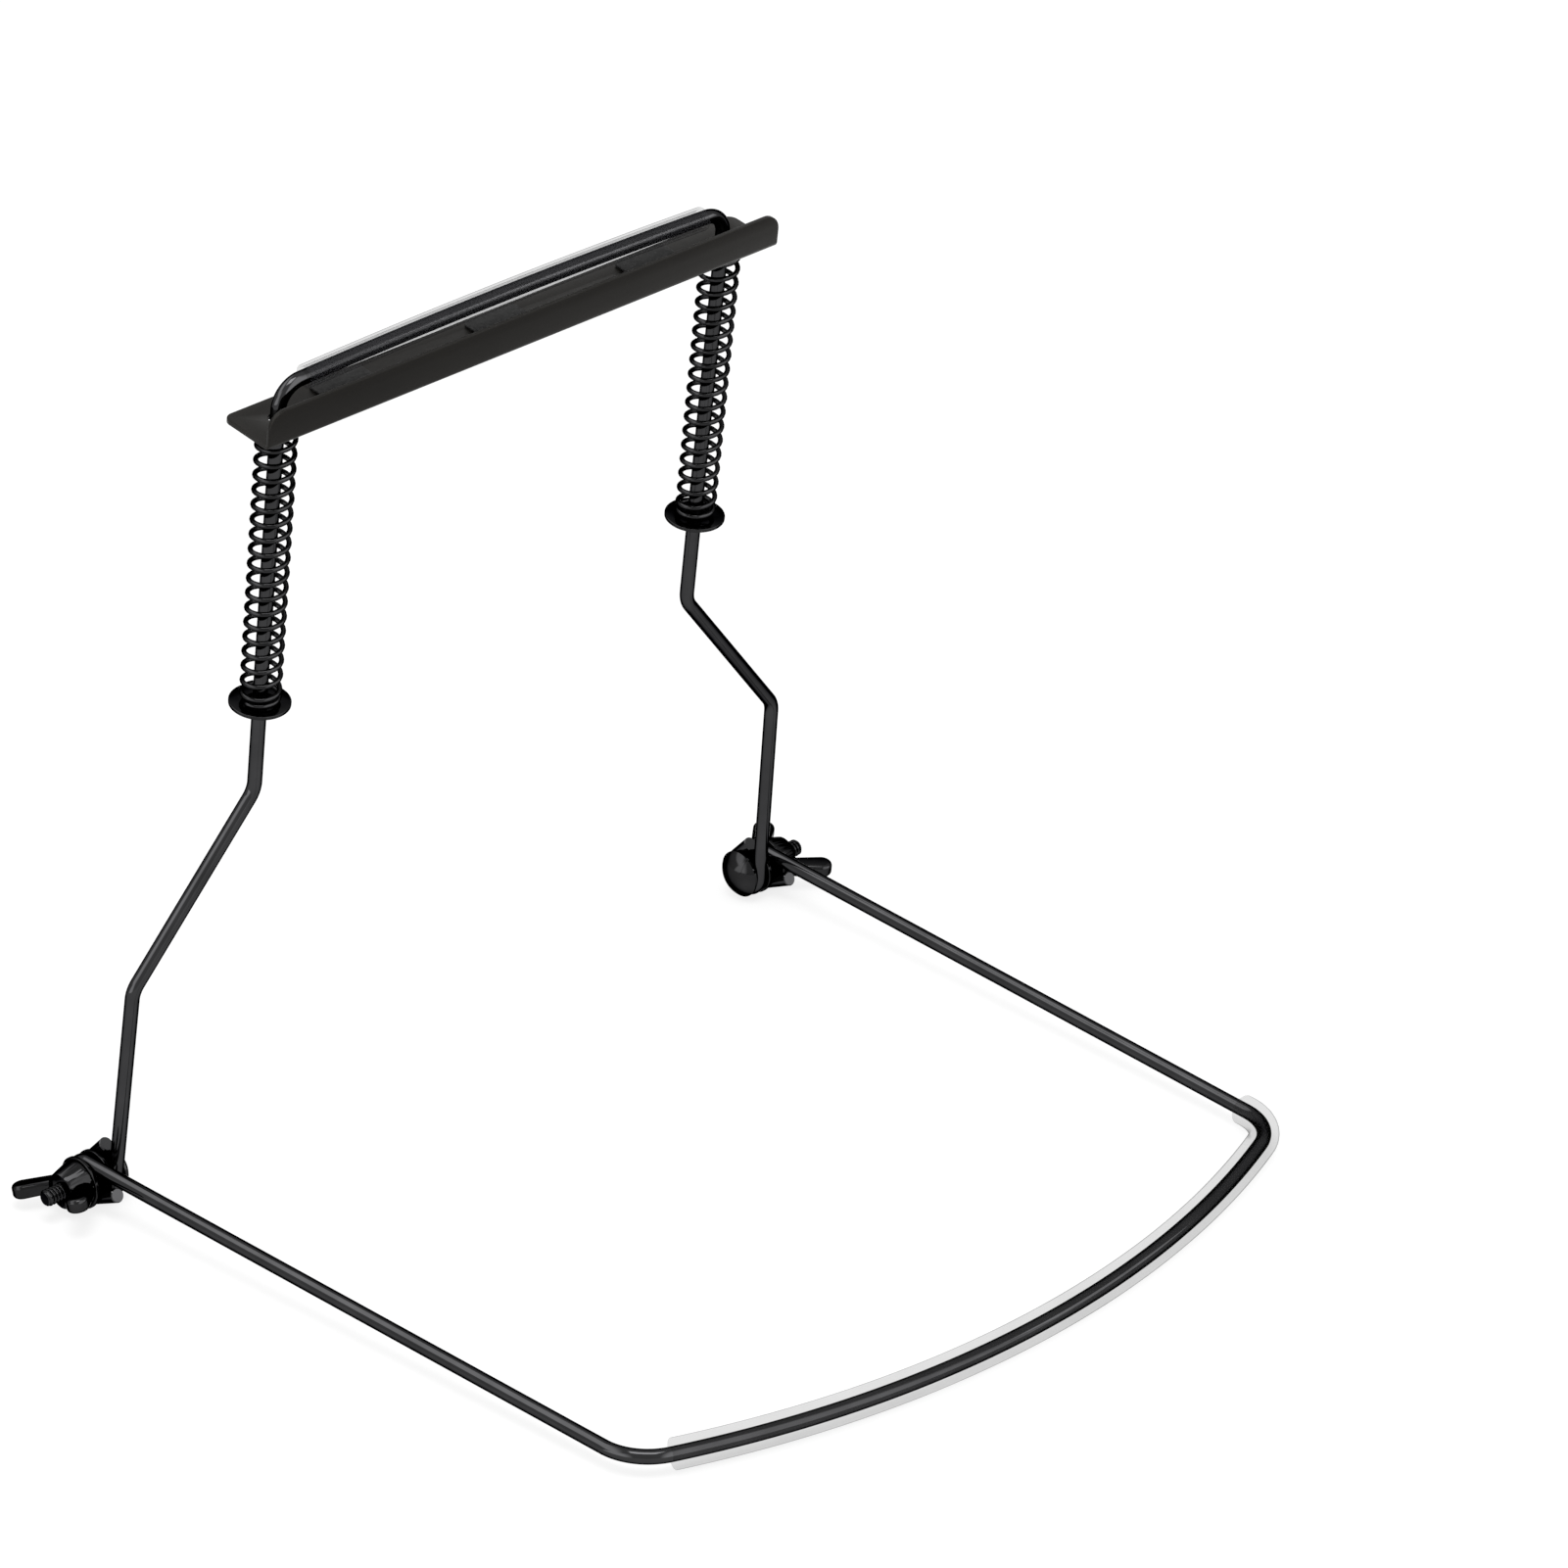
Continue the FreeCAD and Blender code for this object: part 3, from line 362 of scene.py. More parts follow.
def softened_copy(name, node, width, segments=2):
    """A copy of a CAD node's mesh, merged, with its sharp edges rounded off by a small bevel."""
    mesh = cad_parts[node].data.copy()
    mesh.name = name
    work = bmesh.new()
    work.from_mesh(mesh)
    bmesh.ops.remove_doubles(work, verts=work.verts, dist=MERGE_DISTANCE)
    bmesh.ops.dissolve_degenerate(work, dist=MERGE_DISTANCE, edges=work.edges)
    bmesh.ops.dissolve_limit(work, angle_limit=FLAT_ANGLE, verts=work.verts, edges=work.edges)
    for face in work.faces:
        face.smooth = True
    work.to_mesh(mesh)
    work.free()
    piece = bpy.data.objects.new(name, mesh)
    bpy.context.scene.collection.objects.link(piece)
    edge_round = piece.modifiers.new("edge_round", "BEVEL")
    edge_round.width = width
    edge_round.segments = segments
    edge_round.limit_method = "ANGLE"
    edge_round.angle_limit = BEVEL_ANGLE
    edge_round.harden_normals = True
    return piece


def dress(piece, material, body, slot, *nodes):
    """Gives a piece its material and its body, and hides the CAD nodes that it stands for. The slot
    is not used.
    """
    piece.data.materials.clear()
    piece.data.materials.append(material)
    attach(piece, body)
    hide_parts(*nodes)


# shader nodes
def feed(tree, value, socket):
    """Sets a socket to a number, or links an output to it."""
    if isinstance(value, (int, float)):
        socket.default_value = value
    else:
        tree.links.new(value, socket)


def math_node(tree, operation, first, second):
    """The result of a sum, a product or the like of two numbers or outputs."""
    node = tree.nodes.new("ShaderNodeMath")
    node.operation = operation
    feed(tree, first, node.inputs[0])
    feed(tree, second, node.inputs[1])
    return node.outputs[0]


def noise(tree, scale, detail=2.0):
    """Noise on the object's own coordinates."""
    place = tree.nodes.new("ShaderNodeTexCoord")
    grain = tree.nodes.new("ShaderNodeTexNoise")
    grain.inputs["Scale"].default_value = scale
    grain.inputs["Detail"].default_value = detail
    tree.links.new(place.outputs["Object"], grain.inputs["Vector"])
    return grain.outputs["Fac"]


def spread(tree, value, low, high):
    """The value's middle part laid over the range from low to high."""
    reach = tree.nodes.new("ShaderNodeMapRange")
    reach.inputs["From Min"].default_value = 0.3
    reach.inputs["From Max"].default_value = 0.7
    reach.inputs["To Min"].default_value = low
    reach.inputs["To Max"].default_value = high
    tree.links.new(value, reach.inputs["Value"])
    return reach.outputs["Result"]


def soft_step(tree, value, low, high, strength):
    """A soft step: nothing at low, strength at high, smooth between."""
    step = tree.nodes.new("ShaderNodeMapRange")
    step.interpolation_type = "SMOOTHSTEP"
    step.inputs["From Min"].default_value = low
    step.inputs["From Max"].default_value = high
    step.inputs["To Max"].default_value = strength
    tree.links.new(value, step.inputs["Value"])
    return step.outputs["Result"]


def clouded(tree, shader, value, dark, light):
    """Gives a shader a base colour between dark and light, led by a noise value."""
    mix = tree.nodes.new("ShaderNodeMix")
    mix.data_type = "RGBA"
    mix.inputs["A"].default_value = tuple(dark) + (1.0,)
    mix.inputs["B"].default_value = tuple(light) + (1.0,)
    tree.links.new(spread(tree, value, 0.0, 1.0), mix.inputs["Factor"])
    tree.links.new(mix.outputs["Result"], shader.inputs["Base Color"])


def shaded(tone, share):
    """A tone made darker or lighter by a share."""
    return tuple(min(1.0, part * share) for part in tone)


def roughened(tree, shader, value, strength, distance=0.0001):
    """Gives a shader a bump led by a noise value."""
    bump = tree.nodes.new("ShaderNodeBump")
    bump.inputs["Strength"].default_value = strength
    bump.inputs["Distance"].default_value = distance
    tree.links.new(value, bump.inputs["Height"])
    tree.links.new(bump.outputs["Normal"], shader.inputs["Normal"])


# materials
def blank_material(name):
    """A new material with its node tree and shader, or the finished one without them."""
    old = bpy.data.materials.get(name)
    if old is not None:
        return old, None, None
    material = bpy.data.materials.new(name)
    material.use_nodes = True
    nodes = material.node_tree.nodes
    nodes.clear()
    output = nodes.new("ShaderNodeOutputMaterial")
    shader = nodes.new("ShaderNodeBsdfPrincipled")
    material.node_tree.links.new(shader.outputs[0], output.inputs[0])
    return material, material.node_tree, shader


def rod_plating():
    """Black plated rod: a dark mirror whose edges stay dark, faintly uneven in tone and gloss."""
    finish = bpy.context.scene.holder_finish
    material, tree, shader = blank_material("rod_plating")
    if tree is None:
        return material
    shader.inputs["Metallic"].default_value = 1.0
    shader.inputs["Specular Tint"].default_value = (0.03, 0.03, 0.03, 1)
    clouded(tree, shader, noise(tree, scale=90.0, detail=3.0),
            dark=shaded(finish.plating, 0.88), light=shaded(finish.plating, 1.15))
    haze = noise(tree, scale=70.0)
    tree.links.new(spread(tree, haze, low=finish.gloss * 0.8, high=finish.gloss * 1.25),
                   shader.inputs["Roughness"])
    return material


def hardware_black():
    """Black oxide on turned and cast hardware: darker and a little duller, with a cast grain."""
    material, tree, shader = blank_material("hardware_black")
    if tree is None:
        return material
    shader.inputs["Metallic"].default_value = 1.0
    shader.inputs["Specular Tint"].default_value = (0.04, 0.04, 0.04, 1)
    clouded(tree, shader, noise(tree, scale=140.0, detail=3.0),
            dark=(0.018, 0.018, 0.0185), light=(0.030, 0.030, 0.031))
    tree.links.new(spread(tree, noise(tree, scale=300.0), low=0.08, high=0.14),
                   shader.inputs["Roughness"])
    roughened(tree, shader, noise(tree, scale=1100.0, detail=3.0), strength=0.03)
    return material


def rail_paint():
    """Black painted sheet: satin, a trace warm, with the fine orange peel of sprayed paint."""
    finish = bpy.context.scene.holder_finish
    material, tree, shader = blank_material("rail_paint")
    if tree is None:
        return material
    clouded(tree, shader, noise(tree, scale=60.0, detail=3.0),
            dark=shaded(finish.sheet_paint, 0.8), light=shaded(finish.sheet_paint, 1.3))
    tree.links.new(spread(tree, noise(tree, scale=320.0), low=0.33, high=0.41),
                   shader.inputs["Roughness"])
    shader.inputs["Specular IOR Level"].default_value = 0.16
    shader.inputs["Specular Tint"].default_value = (1.0, 0.95, 0.88, 1)
    roughened(tree, shader, noise(tree, scale=1400.0), strength=0.05)
    return material


def clear_vinyl(name, tone, body, rim):
    """Clear soft tube: a film that takes a share of the light, body, and more at its edges, rim."""
    material, tree, shader = blank_material(name)
    if tree is None:
        return material
    shader.inputs["Base Color"].default_value = tuple(tone) + (1.0,)
    shader.inputs["Specular IOR Level"].default_value = 0.0
    tree.links.new(spread(tree, noise(tree, scale=45.0, detail=3.0), low=0.05, high=0.15),
                   shader.inputs["Roughness"])
    edge = tree.nodes.new("ShaderNodeLayerWeight")
    edge.inputs["Blend"].default_value = 0.5
    nearing = soft_step(tree, edge.outputs["Facing"], low=0.72, high=1.0, strength=rim - body)
    handled = spread(tree, noise(tree, scale=60.0, detail=3.0), low=0.93, high=1.07)
    share = math_node(tree, "MULTIPLY", math_node(tree, "ADD", nearing, body), handled)
    tree.links.new(share, shader.inputs["Alpha"])
    return material


def grip_rubber():
    """Soft black rubber: matt, with a fine moulded grain and a dusty variation."""
    material, tree, shader = blank_material("grip_rubber")
    if tree is None:
        return material
    clouded(tree, shader, noise(tree, scale=220.0, detail=4.0),
            dark=(0.006, 0.006, 0.006), light=(0.012, 0.012, 0.012))
    shader.inputs["Specular IOR Level"].default_value = 0.25
    tree.links.new(spread(tree, noise(tree, scale=900.0), low=0.55, high=0.75),
                   shader.inputs["Roughness"])
    roughened(tree, shader, noise(tree, scale=2600.0, detail=3.0), strength=0.25)
    return material


# settings
def length(name, description, default, precision=4):
    return bpy.props.FloatProperty(
        name=name, description=description, default=default, unit="LENGTH", precision=precision)


def colour(name, description, default):
    return bpy.props.FloatVectorProperty(
        name=name, description=description, default=default, subtype="COLOR", size=3, min=0, max=1)


class HolderSizes(bpy.types.PropertyGroup):
    """Sizes that the operators read."""

    rod_diameter: length("Rod diameter", "Diameter of the bent rods", 0.004)
    neck_sleeve_diameter: length(
        "Neck sleeve", "Outer diameter of the clear sleeve on the yoke", 0.0083)
    bar_sleeve_diameter: length(
        "Bar sleeve", "Outer diameter of the clear sleeve on the top bar", 0.0065)
    bar_sleeve_bore: length("Bar sleeve bore", "Bore of the clear sleeve on the top bar", 0.0052)
    bar_sleeve_length: length(
        "Bar sleeve length", "Length of the clear sleeve on the top bar", 0.138)
    spring_diameter: length("Spring diameter", "Outer diameter of the springs", 0.0113)
    wire_diameter: length("Wire diameter", "Diameter of the springs' wire", 0.0014)
    spring_turns: bpy.props.IntProperty(
        name="Turns", description="Turns of each spring", default=20)
    bolt_diameter: length("Bolt diameter", "Diameter over the bolts' threads", 0.0048)
    thread_pitch: length(
        "Thread pitch", "Advance of the bolts' threads in a turn", 0.00106, precision=5)
    edge_round: length(
        "Edge rounding", "Rounding of washers' and seats' edges", 0.00018, precision=5)


class HolderFinish(bpy.types.PropertyGroup):
    """Tones and gloss that the materials read."""

    plating: colour("Plating", "Tone of the rods' black plating", (0.042, 0.042, 0.0435))
    gloss: bpy.props.FloatProperty(
        name="Plating roughness", description="Roughness of the rods' plating", default=0.075,
        min=0, max=1, subtype="FACTOR")
    sheet_paint: colour("Sheet paint", "Tone of the rail's black paint", (0.0050, 0.0046, 0.0041))
    neck_vinyl: colour(
        "Neck sleeve tone", "Tint of the clear sleeve on the yoke", (0.022, 0.022, 0.021))
    bar_vinyl: colour(
        "Bar sleeve tone", "Tint of the clear sleeve on the top bar", (0.060, 0.060, 0.066))


# pieces
def rod(name, line, radius, lean):
    """A bent rod with chamfered ends."""
    stations = with_ends(*line, radius, radius * ROD_CHAMFER)
    return closed_surface(name, leaned(rings(*stations), lean), False)


class HOLDER_OT_neck_yoke(bpy.types.Operator):
    """Bend the neck yoke: two arms with eyes and a wide bow behind the neck."""

    bl_idname = "holder.neck_yoke"
    bl_label = "Neck yoke"

    def execute(self, context):
        plan, _ = yoke_plan()
        line = rod_line(eye(ARM_X, 90.0, -YOKE_WRAP, YOKE_TAIL), plan, yoke_lift, (0, 0, 1))
        piece = rod("yoke_rod", line, context.scene.holder_sizes.rod_diameter / 2, YOKE_TILT)
        dress(piece, rod_plating(), "yoke", "gloss_black_steel", "neck_yoke")
        return {"FINISHED"}


class HOLDER_OT_front_frame(bpy.types.Operator):
    """Bend the front frame: two eyed legs with knees and shoulders, and the bar between them."""

    bl_idname = "holder.front_frame"
    bl_label = "Front frame"

    def execute(self, context):
        plan, _ = frame_plan()
        line = rod_line(eye(LEG_X, 180.0, LEG_WRAP, LEG_TAIL), plan, frame_lift, (0, 1, 0))
        piece = rod("frame_rod", line, context.scene.holder_sizes.rod_diameter / 2, FRAME_LEAN)
        dress(piece, rod_plating(), "front", "gloss_black_steel", "front_frame")
        return {"FINISHED"}


def sleeve(name, points, ways, normal, outer, inner, lean):
    """A tube with softened rims: out along the path at the outer radius, back at the inner one."""
    rim = (outer - inner) * SLEEVE_RIM
    sides = np.cross(np.tile(normal, (len(points), 1)), ways)
    order = np.concatenate([[0], np.arange(len(points)), [-1]])
    shifted = points[order].copy()
    shifted[1] += ways[0] * rim
    shifted[-2] -= ways[-1] * rim
    out_radii = np.full(len(order), outer)
    out_radii[[0, -1]] = outer - rim
    in_radii = np.full(len(order), inner)
    in_radii[[0, -1]] = inner + rim
    both = np.concatenate([order, order[::-1]])
    grid = rings(np.concatenate([shifted, shifted[::-1]]), ways[both], sides[both],
                 np.concatenate([out_radii, in_radii[::-1]]))
    return closed_surface(name, leaned(grid, lean), True)


class HOLDER_OT_neck_sleeve(bpy.types.Operator):
    """Slide the clear sleeve over the yoke's bow, from the left corner's end to the right arm."""

    bl_idname = "holder.neck_sleeve"
    bl_label = "Neck sleeve"

    def execute(self, context):
        sizes, finish = context.scene.holder_sizes, context.scene.holder_finish
        _, (centre, radius, bow_angle, turn, corner_first, touch, arm_start) = yoke_plan()
        left = -math.pi - bow_angle + SLEEVE_PAST_CORNER / radius
        bow = flat_arc(centre, radius, left, bow_angle, NECK_SLEEVE_STEPS)
        corner = flat_arc(turn, CORNER_RADIUS, bow_angle, corner_first, SLEEVE_CORNER_STEPS)
        run = (arm_start - touch) / np.linalg.norm(arm_start - touch)
        points, ways = joined([bow, corner, straight(touch, touch + run * SLEEVE_ON_ARM)])
        piece = sleeve("neck_tube", yoke_lift(points), yoke_lift(ways, True), (0, 0, 1),
                       sizes.neck_sleeve_diameter / 2, sizes.rod_diameter / 2 - SLEEVE_SINK,
                       YOKE_TILT)
        vinyl = clear_vinyl("neck_vinyl", finish.neck_vinyl, body=0.16, rim=0.60)
        dress(piece, vinyl, "yoke", "clear_vinyl", "neck_sleeve")
        return {"FINISHED"}


class HOLDER_OT_bar_sleeve(bpy.types.Operator):
    """Slide the clear sleeve over the frame's top bar."""

    bl_idname = "holder.bar_sleeve"
    bl_label = "Bar sleeve"

    def execute(self, context):
        sizes, finish = context.scene.holder_sizes, context.scene.holder_finish
        _, (centre, radius) = frame_plan()
        half = sizes.bar_sleeve_length / 2 / radius
        points, ways = flat_arc(centre, radius, math.pi / 2 - half, math.pi / 2 + half,
                                BAR_SLEEVE_STEPS)
        piece = sleeve("bar_tube", frame_lift(points), frame_lift(ways, True), (0, 1, 0),
                       sizes.bar_sleeve_diameter / 2, sizes.bar_sleeve_bore / 2, FRAME_LEAN)
        vinyl = clear_vinyl("bar_vinyl", finish.bar_vinyl, body=0.17, rim=0.80)
        dress(piece, vinyl, "front", "clear_vinyl", "bar_sleeve")
        return {"FINISHED"}


def spring_rise(turn, turns, length, closed):
    """Height of the wire after some turns.

    The pitch is closed at both ends and open between, eased over a part of a turn.
    """
    rise = (length - closed * turns) / (turns - 2 * END_TURNS - EASE_TURNS)

    def eased(value):
        into = np.clip(value - END_TURNS, 0.0, EASE_TURNS)
        return into ** 2 / (2 * EASE_TURNS) + np.maximum(value - END_TURNS - EASE_TURNS, 0.0)

    lower = eased(np.minimum(turn, turns / 2))
    upper = np.where(turn > turns / 2, eased(turns / 2) - eased(turns - turn), 0.0)
    return closed * turn + rise * (lower + upper)


class HOLDER_OT_springs(bpy.types.Operator):
    """Wind the two springs round the upper legs, from their seats to the rail."""

    bl_idname = "holder.springs"
    bl_label = "Springs"

    def execute(self, context):
        sizes = context.scene.holder_sizes
        wire, turns = sizes.wire_diameter, sizes.spring_turns
        coil = (sizes.spring_diameter - wire) / 2
        length = RAIL_Z - RAIL_SHEET - SPRING_GAP - SPRING_FOOT_Z
        turn = np.linspace(0.0, turns, turns * COIL_STEPS + 1)
        height = spring_rise(turn, turns, length - wire, wire + COIL_GAP)
        angle = turn * 2 * math.pi
        cos, sin, flat = np.cos(angle), np.sin(angle), 0 * angle
        slope = np.gradient(height, angle)
        for side, facing in HANDS:
            radial = np.column_stack([cos, sin, flat]) * [facing, facing, 1.0]
            ways = np.column_stack([-sin * coil * facing, cos * coil * facing, slope])
            ways /= np.linalg.norm(ways, axis=1)[:, None]
            points = radial * coil + np.column_stack([flat, flat, height])
            points += [facing * SPRING_X, -EYE_RADIUS, SPRING_FOOT_Z + wire / 2]
            stations = with_ends(points, ways, radial, wire / 2, wire * WIRE_CHAMFER)
            grid = leaned(rings(*stations, columns=WIRE_SIDES), FRAME_LEAN)
            piece = closed_surface(side + "_coil", grid, False, sharp=60.0)
            dress(piece, hardware_black(), "front", "gloss_black_steel", side + "_spring")
            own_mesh(piece)
        return {"FINISHED"}


def disc_profile(inner, outer, thickness, edge):
    """Axial and radial places round a disc's section, a rectangle with rounded corners."""
    quarter = np.linspace(0, math.pi / 2, EDGE_STEPS)
    corners = ((thickness - edge, outer - edge), (edge, outer - edge),
               (edge, inner + edge), (thickness - edge, inner + edge))
    axial, radial = [], []
    for turn, (x, r) in enumerate(corners):
        angle = quarter + turn * math.pi / 2
        axial.append(x + edge * np.cos(angle))
        radial.append(r + edge * np.sin(angle))
    return np.concatenate(axial), np.concatenate(radial)


class HOLDER_OT_washers(bpy.types.Operator):
    """Turn the four washers of the pivots."""

    bl_idname = "holder.washers"
    bl_label = "Pivot washers"

    def execute(self, context):
        sizes = context.scene.holder_sizes
        axial, radial = disc_profile(sizes.bolt_diameter / 2 + WASHER_CLEARANCE, WASHER_RADIUS,
                                     DISC_THICKNESS, sizes.edge_round)
        grid = turned_profile(axial, radial, DISC_SIDES)
        for node, x, lean, body in (("inner_washer", INNER_WASHER_X, FRAME_LEAN, "front"),
                                    ("outer_washer", OUTER_WASHER_X, YOKE_TILT, "yoke")):
            for side, facing in HANDS:
                place = leaned(grid * [facing, 1.0, 1.0] + [facing * x, 0.0, 0.0], lean)
                piece = closed_surface("%s_%s_disc" % (side, node), place, True, sharp=50.0)
                dress(piece, hardware_black(), body, "gloss_black_steel", "%s_%s" % (side, node))
        return {"FINISHED"}


class HOLDER_OT_spring_seats(bpy.types.Operator):
    """Turn the two round seats that the springs stand on."""

    bl_idname = "holder.spring_seats"
    bl_label = "Spring seats"

    def execute(self, context):
        sizes = context.scene.holder_sizes
        axial, radial = disc_profile(sizes.rod_diameter / 2 + SEAT_CLEARANCE, SEAT_RADIUS,
                                     DISC_THICKNESS, sizes.edge_round)
        grid = turned_profile(axial - DISC_THICKNESS / 2, radial, DISC_SIDES)[..., [1, 2, 0]]
        for side, facing in HANDS:
            place = leaned(grid + [facing * SPRING_X, -EYE_RADIUS, SEAT_Z], FRAME_LEAN)
            piece = closed_surface(side + "_seat_disc", place, True, sharp=50.0)
            dress(piece, hardware_black(), "front", "gloss_black_steel", side + "_spring_seat")
        return {"FINISHED"}


def bolt_profile(crest, pitch):
    """Axial places of a bolt from its domed head to its point, with a radius for each angle.

    The thread is a groove whose depth follows the distance from a helix. It starts a little beyond
    the head and stays inside the chamfered point.
    """
    dome = HEAD_HEIGHT - HEAD_RIM
    ball = (HEAD_RADIUS ** 2 + dome ** 2) / (2 * dome)
    swing = np.linspace(0.0, math.asin(HEAD_RADIUS / ball), DOME_STEPS)
    rim_x = [-HEAD_RIM * 0.5, -HEAD_EDGE, 0.0]
    rim_r = [HEAD_RADIUS, HEAD_RADIUS, HEAD_RADIUS - HEAD_EDGE]
    shank = np.arange(0.0, SHANK_LENGTH - 1e-6, pitch / THREAD_STEPS)
    axial = np.concatenate([-HEAD_HEIGHT + ball * (1 - np.cos(swing)), rim_x, [0.0], shank,
                            [SHANK_LENGTH, SHANK_LENGTH]])
    base = np.concatenate([ball * np.sin(swing), rim_r, [crest], np.full(len(shank), crest),
                           [crest - POINT_LENGTH, 0.0]])
    angle = np.linspace(0, 2 * math.pi, BOLT_SIDES, endpoint=False)
    phase = (axial[:, None] / pitch - angle[None] / (2 * math.pi)) % 1.0
    groove = np.clip(GROOVE_WIDTH - np.abs(phase * 2 - 1) * GROOVE_SLOPE, 0.0, 1.0)
    depth = np.where((axial > THREAD_START) & (axial < SHANK_LENGTH), THREAD_DEPTH, 0.0)
    depth *= np.clip((axial - THREAD_START) / THREAD_RUN_IN, 0.0, 1.0)
    to_end = np.clip((SHANK_LENGTH - axial) / POINT_LENGTH, 0.0, 1.0)
    point = to_end * POINT_LENGTH + crest - POINT_LENGTH
    radial = base[:, None] - depth[:, None] * groove
    on_shank = (axial >= 0.0) & (base > 0) & (base <= crest + 1e-9)
    return axial, np.where(on_shank[:, None], np.minimum(radial, point[:, None]), radial)


class HOLDER_OT_pivot_bolts(bpy.types.Operator):
    """Turn the two round-headed bolts and cut their threads."""

    bl_idname = "holder.pivot_bolts"
    bl_label = "Pivot bolts"

    def execute(self, context):
        sizes = context.scene.holder_sizes
        axial, radial = bolt_profile(sizes.bolt_diameter / 2, sizes.thread_pitch)
        grid = turned_profile(axial, radial, BOLT_SIDES)
        for side, facing in HANDS:
            place = grid @ np.diag([facing, facing, 1.0]) + [facing * BOLT_X, 0.0, 0.0]
            piece = closed_surface(side + "_bolt", leaned(place, FRAME_LEAN), False, sharp=40.0)
            dress(piece, hardware_black(), "front", "gloss_black_steel", side + "_pivot_bolt")
        return {"FINISHED"}


class HOLDER_OT_wing_nuts(bpy.types.Operator):
    """Finish the two wing nuts with softened cast edges."""

    bl_idname = "holder.wing_nuts"
    bl_label = "Wing nuts"

    def execute(self, context):
        for side, _ in HANDS:
            piece = softened_copy(side + "_wings", side + "_wing_nut", width=0.00025)
            dress(piece, hardware_black(), side + "_nut", "gloss_black_steel", side + "_wing_nut")
        return {"FINISHED"}


class HOLDER_OT_rail(bpy.types.Operator):
    """Finish the folded harmonica rail with softened edges."""

    bl_idname = "holder.rail"
    bl_label = "Harmonica rail"

    def execute(self, context):
        piece = softened_copy("rail_sheet", "harmonica_rail", width=0.00016)
        dress(piece, rail_paint(), "rail", "satin_black_sheet", "harmonica_rail")
        return {"FINISHED"}


class HOLDER_OT_grip_pads(bpy.types.Operator):
    """Finish the three grip pads with soft edges."""

    bl_idname = "holder.grip_pads"
    bl_label = "Grip pads"

    def execute(self, context):
        for side in ("left", "centre", "right"):
            piece = softened_copy(side + "_pad", side + "_grip_pad", width=0.00035, segments=3)
            dress(piece, grip_rubber(), "rail", "black_grip", side + "_grip_pad")
        return {"FINISHED"}


# stage
CAMERA_PLACE = (-1.22038, -1.34997, 1.04873)
CAMERA_AZIMUTH, CAMERA_ELEVATION, CAMERA_ROLL = -42.8319, 27.1064, -1.8564
CAMERA_LENS, CAMERA_SENSOR = 180.46, 36.0
CAMERA_NEAR, CAMERA_FAR = 0.05, 50.0

FLOOR_HALF, FLOOR_DROP = 3, 0.0003
FLOOR_GREY, FLOOR_LIFT = 0.30, 0.80
PLAIN_LIGHT = 0.55

# name, place, width and power of each lamp; all of them aim at one point
LAMP_AIM = Vector((0.0, 0.0, 0.1))
LAMPS = (
    ("top_panel", (-0.35, -0.25, 1.9), 0.9, 14.0),
    ("side_panel", (1.5, -1.3, 0.8), 0.8, 6.0),
)

# panels that only mirrored rays see: the glow of each, and the two soft steps that bound it, each
# with a direction and the two amounts of it between which the step rises
AHEAD, ACROSS = (-0.690, -0.724, 0.0), (0.724, -0.690, 0.0)
PANELS = (
    (4.1, (ACROSS, -0.25, -0.65), ((-0.690, -0.724, -0.45), 0.20, 0.34)),
    (3.9, (ACROSS, 0.18, 0.50), (AHEAD, -0.20, 0.28)),
    (4.1, ((-0.276, -0.290, 1.0), 0.47, 0.58), ((0.483, -0.943, 0.0), -0.22, -0.55)),
)


def facing_amount(tree, vector, direction):
    """How far a vector goes along a direction."""
    dot = tree.nodes.new("ShaderNodeVectorMath")
    dot.operation = "DOT_PRODUCT"
    dot.inputs[1].default_value = direction
    tree.links.new(vector, dot.inputs[0])
    return dot.outputs["Value"]


def seen_directly(tree, seen):
    """1 for what the camera sees, also through clear things, and 0 for other light."""
    return math_node(tree, "MAXIMUM", seen.outputs["Is Camera Ray"],
                     seen.outputs["Is Transmission Ray"])


def pale_floor():
    """Pale floor: a matt tone that keeps the shadow, lifted to white where it is looked at."""
    material = bpy.data.materials.new("pale_floor")
    material.use_nodes = True
    tree = material.node_tree
    tree.nodes.clear()
    output = tree.nodes.new("ShaderNodeOutputMaterial")
    matt = tree.nodes.new("ShaderNodeBsdfDiffuse")
    matt.inputs["Color"].default_value = (FLOOR_GREY, FLOOR_GREY, FLOOR_GREY, 1)
    lift = tree.nodes.new("ShaderNodeEmission")
    seen = tree.nodes.new("ShaderNodeLightPath")
    looked_at = math_node(
        tree, "MAXIMUM", seen_directly(tree, seen), seen.outputs["Is Glossy Ray"])
    feed(tree, math_node(tree, "MULTIPLY", looked_at, FLOOR_LIFT), lift.inputs["Strength"])
    both = tree.nodes.new("ShaderNodeAddShader")
    tree.links.new(matt.outputs[0], both.inputs[0])
    tree.links.new(lift.outputs[0], both.inputs[1])
    tree.links.new(both.outputs[0], output.inputs[0])
    return material


def background(tree, tone, strength):
    """A grey background of a strength, which may be a number or an output."""
    node = tree.nodes.new("ShaderNodeBackground")
    node.inputs["Color"].default_value = (tone, tone, tone, 1)
    feed(tree, strength, node.inputs["Strength"])
    return node.outputs[0]


def chosen(tree, switch, off, on):
    """One of two shaders, by a switch of 0 or 1."""
    mix = tree.nodes.new("ShaderNodeMixShader")
    for value, socket in zip((switch, off, on), mix.inputs):
        tree.links.new(value, socket)
    return mix.outputs[0]


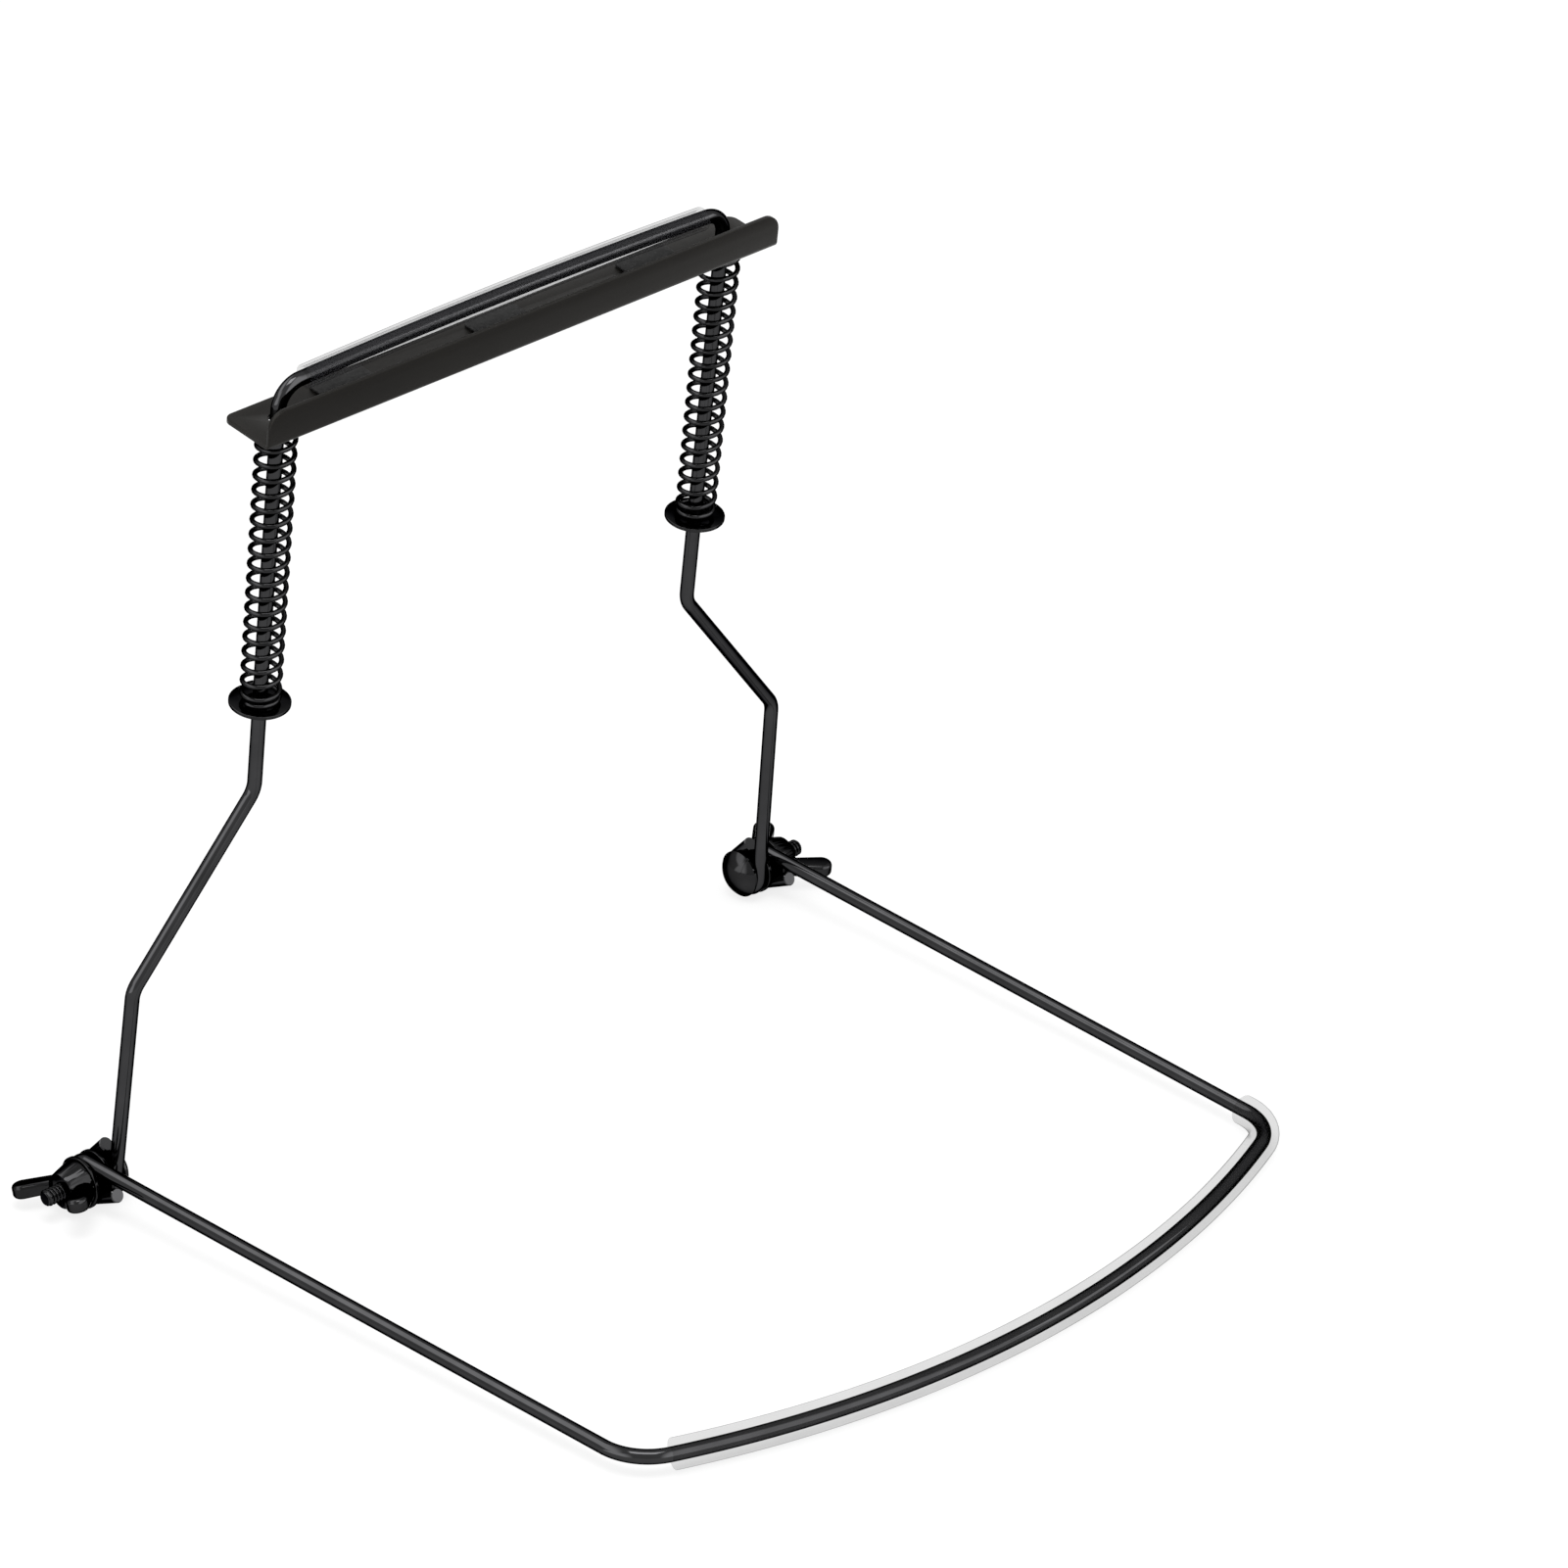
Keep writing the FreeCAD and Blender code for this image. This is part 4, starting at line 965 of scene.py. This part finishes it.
def white_studio():
    """World that is white to look at, a plain light, and soft panels for mirrored rays."""
    world = bpy.data.worlds.new("white_studio")
    world.use_nodes = True
    tree = world.node_tree
    tree.nodes.clear()
    output = tree.nodes.new("ShaderNodeOutputWorld")
    seen = tree.nodes.new("ShaderNodeLightPath")
    way = tree.nodes.new("ShaderNodeTexCoord").outputs["Generated"]
    panels = 1.0
    for glow, *bounds in PANELS:
        first, second = (
            soft_step(tree, facing_amount(tree, way, direction), low, high, strength)
            for (direction, low, high), strength in zip(bounds, (glow, 1.0)))
        panels = math_node(tree, "MAXIMUM", math_node(tree, "MULTIPLY", first, second), panels)
    looked_at = chosen(tree, seen_directly(tree, seen), background(tree, 1.0, PLAIN_LIGHT),
                       background(tree, 1.0, 1.0))
    mirrored = background(tree, 0.8, panels)
    tree.links.new(chosen(tree, seen.outputs["Is Glossy Ray"], looked_at, mirrored),
                   output.inputs[0])
    world.cycles.sampling_method = "NONE"
    return world


def photo_camera():
    """Camera at the photograph's place, angle and roll."""
    data = bpy.data.cameras.new("photo_camera")
    data.lens = CAMERA_LENS
    data.sensor_width = CAMERA_SENSOR
    data.clip_start, data.clip_end = CAMERA_NEAR, CAMERA_FAR
    camera = bpy.data.objects.new("photo_camera", data)
    a, e, r = (math.radians(v) for v in (CAMERA_AZIMUTH, CAMERA_ELEVATION, CAMERA_ROLL))
    back = Vector((math.sin(a) * math.cos(e), -math.cos(a) * math.cos(e), math.sin(e)))
    level = Vector((math.cos(a), math.sin(a), 0.0))
    high = back.cross(level)
    right = level * math.cos(r) + high * math.sin(r)
    up = high * math.cos(r) - level * math.sin(r)
    turn = Matrix((right, up, back)).transposed().to_4x4()
    camera.matrix_world = Matrix.Translation(CAMERA_PLACE) @ turn
    return camera


class HOLDER_OT_stage(bpy.types.Operator):
    """Set up the pale floor, the white studio, its lamps and the camera."""

    bl_idname = "holder.stage"
    bl_label = "Stage"

    def execute(self, context):
        scene = context.scene
        scene.view_settings.view_transform = "Standard"
        scene.world = white_studio()

        half = FLOOR_HALF
        corners = [(-half, -half, 0), (half, -half, 0), (half, half, 0), (-half, half, 0)]
        floor_mesh = bpy.data.meshes.new("floor")
        floor_mesh.from_pydata(corners, [], [(0, 1, 2, 3)])
        floor_mesh.materials.append(pale_floor())
        floor = bpy.data.objects.new("floor", floor_mesh)
        floor.location = (0.0, 0.0, -FLOOR_DROP)
        scene.collection.objects.link(floor)

        for name, place, width, power in LAMPS:
            data = bpy.data.lights.new(name, "AREA")
            data.shape = "SQUARE"
            data.size = width
            data.energy = power
            lamp = bpy.data.objects.new(name, data)
            lamp.location = place
            lamp.rotation_euler = (LAMP_AIM - Vector(place)).to_track_quat("-Z", "Y").to_euler()
            scene.collection.objects.link(lamp)

        camera = photo_camera()
        scene.collection.objects.link(camera)
        scene.camera = camera
        return {"FINISHED"}


class HOLDER_PT_panel(bpy.types.Panel):
    """Lists the holder's settings and its building steps."""

    bl_idname = "HOLDER_PT_panel"
    bl_label = "Harmonica Holder"
    bl_space_type = "VIEW_3D"
    bl_region_type = "UI"
    bl_category = "Holder"

    def draw(self, context):
        for group in (context.scene.holder_sizes, context.scene.holder_finish):
            column = self.layout.column(align=True)
            for key in group.__annotations__:
                column.prop(group, key)
        column = self.layout.column(align=True)
        for step in STEPS:
            column.operator(step.bl_idname)


STEPS = (
    HOLDER_OT_stage,
    HOLDER_OT_neck_yoke,
    HOLDER_OT_neck_sleeve,
    HOLDER_OT_front_frame,
    HOLDER_OT_bar_sleeve,
    HOLDER_OT_spring_seats,
    HOLDER_OT_springs,
    HOLDER_OT_washers,
    HOLDER_OT_pivot_bolts,
    HOLDER_OT_wing_nuts,
    HOLDER_OT_rail,
    HOLDER_OT_grip_pads,
)
CLASSES = (HolderSizes, HolderFinish) + STEPS + (HOLDER_PT_panel,)


def register():
    for entry in CLASSES:
        bpy.utils.register_class(entry)
    bpy.types.Scene.holder_sizes = bpy.props.PointerProperty(type=HolderSizes)
    bpy.types.Scene.holder_finish = bpy.props.PointerProperty(type=HolderFinish)


def unregister():
    del bpy.types.Scene.holder_finish
    del bpy.types.Scene.holder_sizes
    for entry in reversed(CLASSES):
        bpy.utils.unregister_class(entry)


def main():
    register()
    for step in STEPS:
        area, verb = step.bl_idname.split(".")
        getattr(getattr(bpy.ops, area), verb)()


if __name__ == "__main__":
    main()
